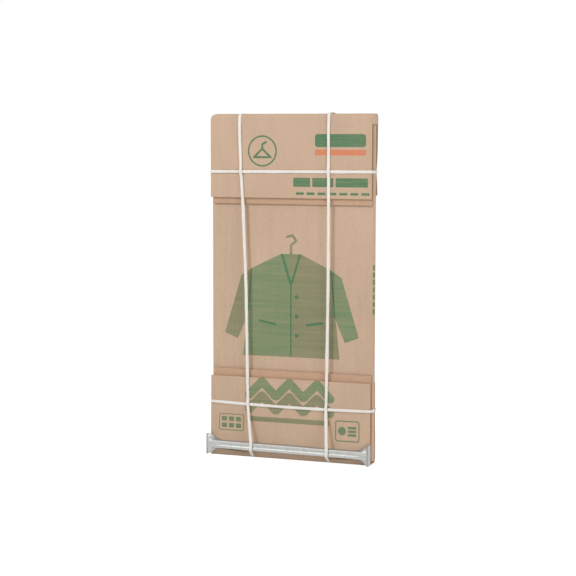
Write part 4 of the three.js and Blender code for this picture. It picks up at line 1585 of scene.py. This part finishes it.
@dataclass
class Knot:
    """A tight overhand knot with two short tails. size is half its size across, outwards and along."""

    size: tuple[float, float, float] = (8.5, 7.0, 10.0)
    squash: float = 0.62
    strand_share: float = 0.62
    margin: float = 0.8
    tail: float = 26.0
    drop: float = 10.4
    curl: float = 4.0
    tail_lift: float = 1.5
    tail_start: float = 0.12
    strand: Twine = field(default_factory=lambda: Twine(
        width=6.6, thickness=5.4, power=0.9, lobes=5, lobe_depth=0.1, sides=20, step=1.0, twist=24.0))
    end: Twine = field(default_factory=lambda: Twine(
        width=7.2, thickness=3.6, power=0.8, lobes=6, lobe_depth=0.16, sides=36, step=1.2, twist=30.0))

    def build(self, parts: MeshParts, twine: Twine, at: Array, along: Array, across: Array) -> None:
        """Adds the knot at a place on its loop.

        The knot's line is a trefoil: sin t + 2 sin 2t across, cos t - 2 cos 2t along, -sin 3t outwards. Each
        tail runs straight across, less a drop that grows with the square of its length, and waves by sines
        along the loop and outwards.

        Args:
            parts: the loop's mesh.
            twine: the loop's twine.
            at: the knot's middle.
            along: the loop's direction there.
            across: the direction of the tails.
        """
        out = np.array([0.0, 1.0, 0.0])
        t = np.linspace(0, 2 * np.pi, 97)[:-1]
        shape = np.stack([(np.sin(t) + 2 * np.sin(2 * t)) / 3, -np.sin(3 * t),
                          (np.cos(t) - 2 * np.cos(2 * t)) / 3], axis=1)
        room = np.array(self.size) - self.strand_share * twine.thickness / 2
        room = room - self.margin * np.array([1.0, 0.0, 1.0])
        local = shape * room * np.array([1.0, self.squash, 1.0])
        path = at + local[:, :1] * across + local[:, 1:2] * out + local[:, 2:] * along
        self.strand.carry(parts, path, (along + across + out) / math.sqrt(3), 0.7)
        share = np.linspace(self.tail_start, 1, 24)[:, None]
        sag = np.sin(np.pi * share) * self.curl - self.drop * share ** 2
        lift = self.tail_lift * np.sin(2.2 * np.pi * share)
        for side in (-1, 1):
            tail = at + side * across * self.tail * share + along * sag + out * lift
            self.end.carry(parts, tail, along, 1.3 + side, closed=False)


TWINE_SMOOTHING = 75.0


@dataclass
class UprightLoop:
    """A loop of twine round the pack from top to bottom, over the bar.

    heights and across are the points that its front run passes, and top_bite is how far it sinks into the
    board's top bend.
    """

    name: str
    node: str
    heights: tuple[float, ...]
    across: tuple[float, ...]
    top_bite: float
    knot_height: float
    seed: float
    crossing_run: float = 16.0
    foot_inset: float = 4.0
    foot_run: float = 12.0
    toe_lift: float = 1.0
    heel_reach: float = 2.0
    heel_rise: float = 20.0

    def corners(self, bar: HangerBar, twine: Twine) -> list[Corner]:
        """The loop's corner points, round the pack from its front top bend.

        Args:
            bar: the hanger bar, which the twine passes over low on the front.
            twine: the twine, for its width and thickness.

        Returns:
            The corners in order.
        """
        pitch, half, dent, run = PACK.pitch, PACK.half, SETTLING.twine_dent, self.crossing_run
        order = np.argsort(self.heights)
        heights, across = np.array(self.heights)[order], np.array(self.across)[order]
        offset = half + twine.seat + twine.thickness / 2
        climb = twine.thickness + twine.seat
        x_top, x_foot = (float(np.interp(z, heights, across)) for z in (PACK.score_top, 0.0))
        made: list[Corner] = []

        def front(y: float, z: float, turn: Turn = Turn.NONE) -> None:
            """Adds a corner on the front, its place across read by height."""
            made.append(Corner(float(np.interp(z, heights, across)), y, z, turn))

        def back(y: float, z: float, turn: Turn = Turn.NONE) -> None:
            """Adds a corner on the back, its place across on one straight line."""
            made.append(Corner(float(np.interp(z, [0, PACK.score_top], [x_foot, x_top])), y, z, turn))

        def spring(z: float) -> float:
            """The depth of the back outer flap's middle at a height."""
            return PACK.flap_y + float(PACK.spring_at(np.array(z)))

        upper = float(np.interp(x_top, UPPER_X, UPPER_Z))
        lower = float(np.interp(x_foot, LOWER_X, LOWER_Z))
        front_y = -(PACK.flap_y + offset)
        reach = (spring(PACK.score_top) - pitch / 2) / 2
        top_offset = offset - self.top_bite
        rise = 1.5 * pitch + top_offset
        quarter = np.linspace(0, np.pi / 2, 9)
        high = PACK.score_top - 2 * run
        flap_edge = PACK.score_bottom + PACK.flap_length

        # Down the front: the top bend, the upper crossing, the wall, the lower crossing and the bar.
        for angle in quarter:
            front(-2 * pitch - rise * math.sin(angle), PACK.score_top + rise * math.cos(angle), Turn.FINE)
        front(front_y, high, Turn.GENTLE)
        front(front_y, upper + run, Turn.EASY)
        for side in (1, -1):
            front(front_y - climb + dent, upper + side * twine.width / 2, Turn.TIGHT)
        front(front_y, upper - run, Turn.EASY)
        front(front_y, PACK.score_top - PACK.flap_length, Turn.TIGHT)
        front(front_y, PACK.score_bottom + PACK.panel_height / 2, Turn.LONG)
        front(front_y, flap_edge, Turn.TIGHT)
        lower_y = front_y - float(PACK.slack_at(np.array(lower))) - climb
        front(lower_y + climb, lower + run, Turn.EASY)
        for side in (1, -1):
            front(lower_y + dent, lower + side * twine.width / 2, Turn.TIGHT)
        centre_x, centre_z = bar.centre()
        bar_x = float(np.interp(centre_z, heights, across))
        bar_z = centre_z - math.tan(bar.tilt) * (bar_x - centre_x)
        bar_y = bar.front_y - twine.seat - twine.thickness / 2
        for side in (1, -1):
            front(bar_y, bar_z + side * bar.channel_half, Turn.TIGHT)

        # Under the foot, and up the back: the lower crossing, the wall and the flap that springs off.
        under = twine.seat + twine.thickness / 2
        foot_y = PACK.flap_y + PACK.bottom_slack + half - self.foot_inset
        front(-foot_y, under + self.toe_lift, Turn.TIGHT)
        front(-foot_y + self.foot_run, under)
        back(foot_y - self.foot_run, under)
        back(foot_y + self.heel_reach, under, Turn.GENTLE)
        for height in (under + self.heel_rise, PACK.slack_height):
            back(PACK.flap_y + PACK.bottom_slack + offset, height, Turn.GENTLE)
        back(-lower_y - climb, lower - run, Turn.EASY)
        for side in (-1, 1):
            back(-lower_y - dent, lower + side * twine.width / 2, Turn.TIGHT)
        back(-lower_y - climb, lower + run, Turn.EASY)
        back(-front_y, flap_edge, Turn.SLOW)
        free_edge = PACK.score_top - PACK.flap_length + math.pi * (reach + 1.5 * pitch) / 2
        back(spring(free_edge) + offset, free_edge, Turn.GENTLE)
        back(spring(PACK.score_top) + offset, high, Turn.GENTLE)
        for angle in quarter:
            back(pitch / 2 + reach + (reach + top_offset) * math.cos(angle),
                 PACK.score_top + rise * math.sin(angle), Turn.FINE)
        return made

    def build(self, bar: HangerBar, twine: Twine, material: bpy.types.Material) -> None:
        """Builds the loop and its knot, which sits on the back.

        Args:
            bar: the hanger bar.
            twine: the twine.
            material: the twine's material.
        """
        route = rounded_route(self.corners(bar, twine), twine.step)
        parts = MeshParts()
        twine.carry(parts, route, np.array([1.0, 0.0, 0.0]), self.seed)
        back = route[route[:, 1] > 0]
        nearest = back[np.argmin(np.abs(back[:, 2] - self.knot_height))]
        Knot().build(parts, twine, nearest, np.array([0.0, 0.0, 1.0]), np.array([1.0, 0.0, 0.0]))
        put_on(parts.build(self.name, [material], TWINE_SMOOTHING), self.node)


@dataclass
class LevelLoop:
    """A loop of twine round the pack at one height, under the upright ones.

    across and heights are the points that it passes, and side_bite is how far it sinks into the board's
    edges.
    """

    name: str
    node: str
    across: Array
    heights: Array
    knot_x: float
    seed: float
    side_bite: float = 2.6
    knot_sink: float = 1.0

    def corners(self, twine: Twine) -> list[Corner]:
        """The loop's corner points, seen from above, from its front left edge.

        Args:
            twine: the twine, for its thickness.

        Returns:
            The corners in order.
        """
        outwards = twine.seat + twine.thickness / 2
        slack = float(PACK.slack_at(np.array(np.interp(0.0, self.across, self.heights))))
        face_y = PACK.flap_y + slack + PACK.half + outwards - SETTLING.twine_dent
        left_x = -(PACK.flap_half + outwards - self.side_bite)
        right_x = PACK.spine_x + outwards - self.side_bite
        half_way = PACK.flap_half / 2
        front = ((left_x, -face_y, Turn.TIGHT), (-half_way, -face_y, Turn.NONE),
                 (half_way, -face_y, Turn.NONE), (PACK.flap_half, -face_y, Turn.TIGHT),
                 (right_x, -1.5 * PACK.pitch, Turn.TIGHT))
        back = tuple((x, -y, turn) for x, y, turn in reversed(front))
        return [Corner(x, y, float(np.interp(x, self.across, self.heights)), turn)
                for x, y, turn in front + back]

    def build(self, twine: Twine, material: bpy.types.Material) -> None:
        """Builds the loop and its knot, which sits on the back.

        Args:
            twine: the twine.
            material: the twine's material.
        """
        route = rounded_route(self.corners(twine), twine.step)
        route[:, 2] = np.interp(route[:, 0], self.across, self.heights)
        parts, knot = MeshParts(), Knot()
        twine.carry(parts, route, np.array([0.0, 0.0, 1.0]), self.seed)
        at = np.array([self.knot_x, route[:, 1].max() + knot.size[1] - twine.thickness / 2 - self.knot_sink,
                       float(np.interp(self.knot_x, self.across, self.heights))])
        knot.build(parts, twine, at, np.array([1.0, 0.0, 0.0]), np.array([0.0, 0.0, 1.0]))
        put_on(parts.build(self.name, [material], TWINE_SMOOTHING), self.node)


@dataclass
class Twines:
    """The four loops of twine."""

    twine: Twine = field(default_factory=Twine)
    finish: TwineFinish = TwineFinish()

    def build(self, bar: HangerBar) -> None:
        """Builds the upright loops, which lie over the level ones, and then those.

        Args:
            bar: the hanger bar, which the upright loops pass over.
        """
        material = self.finish.dress("white_twine_yarn")
        uprights = [
            UprightLoop("left_upright_twine", "twine_upright_left",
                        (1224, 1094, 1040, 948, 767, 624, 478, 295, 195, 54, 27, 3),
                        (-194, -191, -188, -181.5, -173, -168, -164.5, -163, -159.8, -137.5, -139.5, -144),
                        top_bite=3.8, knot_height=612.0, seed=0.4),
            UprightLoop("right_upright_twine", "twine_upright_right",
                        (1224, 1187, 1040, 884, 634, 419, 347, 277, 195, 54, 27, 3),
                        (147.6, 146, 147, 148, 147.2, 145.4, 143.8, 142, 141.8, 153, 152.5, 150.5),
                        top_bite=0.0, knot_height=655.0, seed=2.1)]
        levels = [
            LevelLoop("upper_level_twine", "twine_level_upper", UPPER_X, UPPER_Z, knot_x=-52.0, seed=3.3),
            LevelLoop("lower_level_twine", "twine_level_lower", LOWER_X, LOWER_Z, knot_x=38.0, seed=4.9)]
        for upright in uprights:
            upright.build(bar, self.twine, material)
        for level in levels:
            level.build(self.twine, material)


@dataclass(frozen=True)
class Lamp:
    """A soft square lamp: its place and size in metres, and its power in watts."""

    name: str
    place: tuple[float, float, float]
    power: float
    size: float

    def build(self, aim: tuple[float, float, float]) -> None:
        """Puts the lamp in its place and turns it to a point.

        Args:
            aim: the point, in metres.
        """
        light = bpy.data.lights.new(self.name, "AREA")
        light.energy, light.size = self.power, self.size
        lamp = bpy.data.objects.new(self.name, light)
        lamp.location = self.place
        lamp.rotation_euler = (Vector(aim) - Vector(self.place)).to_track_quat("-Z", "Y").to_euler()
        bpy.context.scene.collection.objects.link(lamp)


@dataclass
class Studio:
    """The plain pale floor, the soft lamps, the white surroundings and the camera."""

    lens: float = 104.98
    sensor: float = 36.0
    azimuth: float = math.radians(21.19)
    elevation: float = math.radians(5.165)
    roll: float = math.radians(0.107)
    distance: float = 6048.0
    target: tuple[float, float, float] = (-16.4, 0.0, 620.6)
    lamps: tuple[Lamp, ...] = (Lamp("key_lamp", (-2.5, -3.3, 4.2), 124.0, 1.1),
                               Lamp("fill_lamp", (4.6, -2.2, 1.6), 86.0, 2.2))
    lamp_aim: tuple[float, float, float] = (0.0, 0.0, 0.65)
    surroundings: float = 0.44
    floor_size: float = 60.0
    floor_tone: float = 0.86
    floor_glow: float = 0.62

    def build_camera(self) -> None:
        """Places the camera at the photograph's viewing angle, with its slight roll."""
        camera = bpy.data.objects.new("camera", bpy.data.cameras.new("camera"))
        camera.data.sensor_width = self.sensor
        camera.data.lens = self.lens
        camera.data.clip_start, camera.data.clip_end = 0.1, 200.0
        back = np.array([math.sin(self.azimuth) * math.cos(self.elevation),
                         -math.cos(self.azimuth) * math.cos(self.elevation), math.sin(self.elevation)])
        camera.location = Vector((np.array(self.target) + ORIGIN + back * self.distance) * MM)
        aim = Vector(-back).to_track_quat("-Z", "Y").to_matrix()
        camera.rotation_euler = (aim @ Matrix.Rotation(self.roll, 3, "Z")).to_euler()
        bpy.context.scene.collection.objects.link(camera)
        bpy.context.scene.camera = camera

    def camera_like(self, tree: bpy.types.NodeTree) -> bpy.types.NodeSocket:
        """Tells rays from the camera, in mirrors and through glass from the rest.

        Args:
            tree: the node tree that takes the nodes.

        Returns:
            1 for those rays and 0 for others.
        """
        rays = tree.nodes.new("ShaderNodeLightPath")
        total = rays.outputs["Is Camera Ray"]
        for kind in ("Is Glossy Ray", "Is Transmission Ray"):
            either = tree.nodes.new("ShaderNodeMath")
            either.operation, either.use_clamp = "ADD", True
            tree.links.new(total, either.inputs[0])
            tree.links.new(rays.outputs[kind], either.inputs[1])
            total = either.outputs[0]
        return total

    def build_surroundings(self) -> None:
        """White for the camera, and a soft even light for the pack."""
        world = bpy.data.worlds.new("studio_white")
        bpy.context.scene.world = world
        world.use_nodes = True
        tree = world.node_tree
        strength = tree.nodes.new("ShaderNodeMapRange")
        strength.inputs["To Min"].default_value = self.surroundings
        strength.inputs["To Max"].default_value = 1.0
        tree.links.new(self.camera_like(tree), strength.inputs["Value"])
        background = tree.nodes["Background"]
        background.inputs["Color"].default_value = (1.0, 1.0, 1.0, 1.0)
        tree.links.new(strength.outputs["Result"], background.inputs["Strength"])

    def build_floor(self) -> None:
        """A pale floor that stays white for the camera except where the pack shades it."""
        reach = self.floor_size / 2
        mesh = bpy.data.meshes.new("floor")
        mesh.from_pydata([(-reach, -reach, 0), (reach, -reach, 0), (reach, reach, 0), (-reach, reach, 0)], [],
                         [(0, 1, 2, 3)])
        floor = bpy.data.objects.new("floor", mesh)
        bpy.context.scene.collection.objects.link(floor)
        shader = Shader("pale_floor")
        glow = shader.maths("MULTIPLY", self.camera_like(shader.tree), self.floor_glow)
        shader.paint({"Base Color": (*(self.floor_tone,) * 3, 1.0), "Roughness": 0.9,
                      "Specular IOR Level": 0.0, "Emission Color": (1.0,) * 4, "Emission Strength": glow})
        mesh.materials.append(shader.material)

    def build(self) -> None:
        """Builds the whole studio."""
        self.build_camera()
        for lamp in self.lamps:
            lamp.build(self.lamp_aim)
        self.build_surroundings()
        self.build_floor()
        bpy.context.scene.view_settings.view_transform = "Standard"


def main() -> None:
    """Builds the studio, the carton, the bar and the twine, in that order."""
    logging.basicConfig(level=logging.INFO, format="%(message)s")
    Studio().build()
    Carton().build()
    bar = HangerBar()
    bar.build()
    Twines().build(bar)


if __name__ == "__main__":
    main()
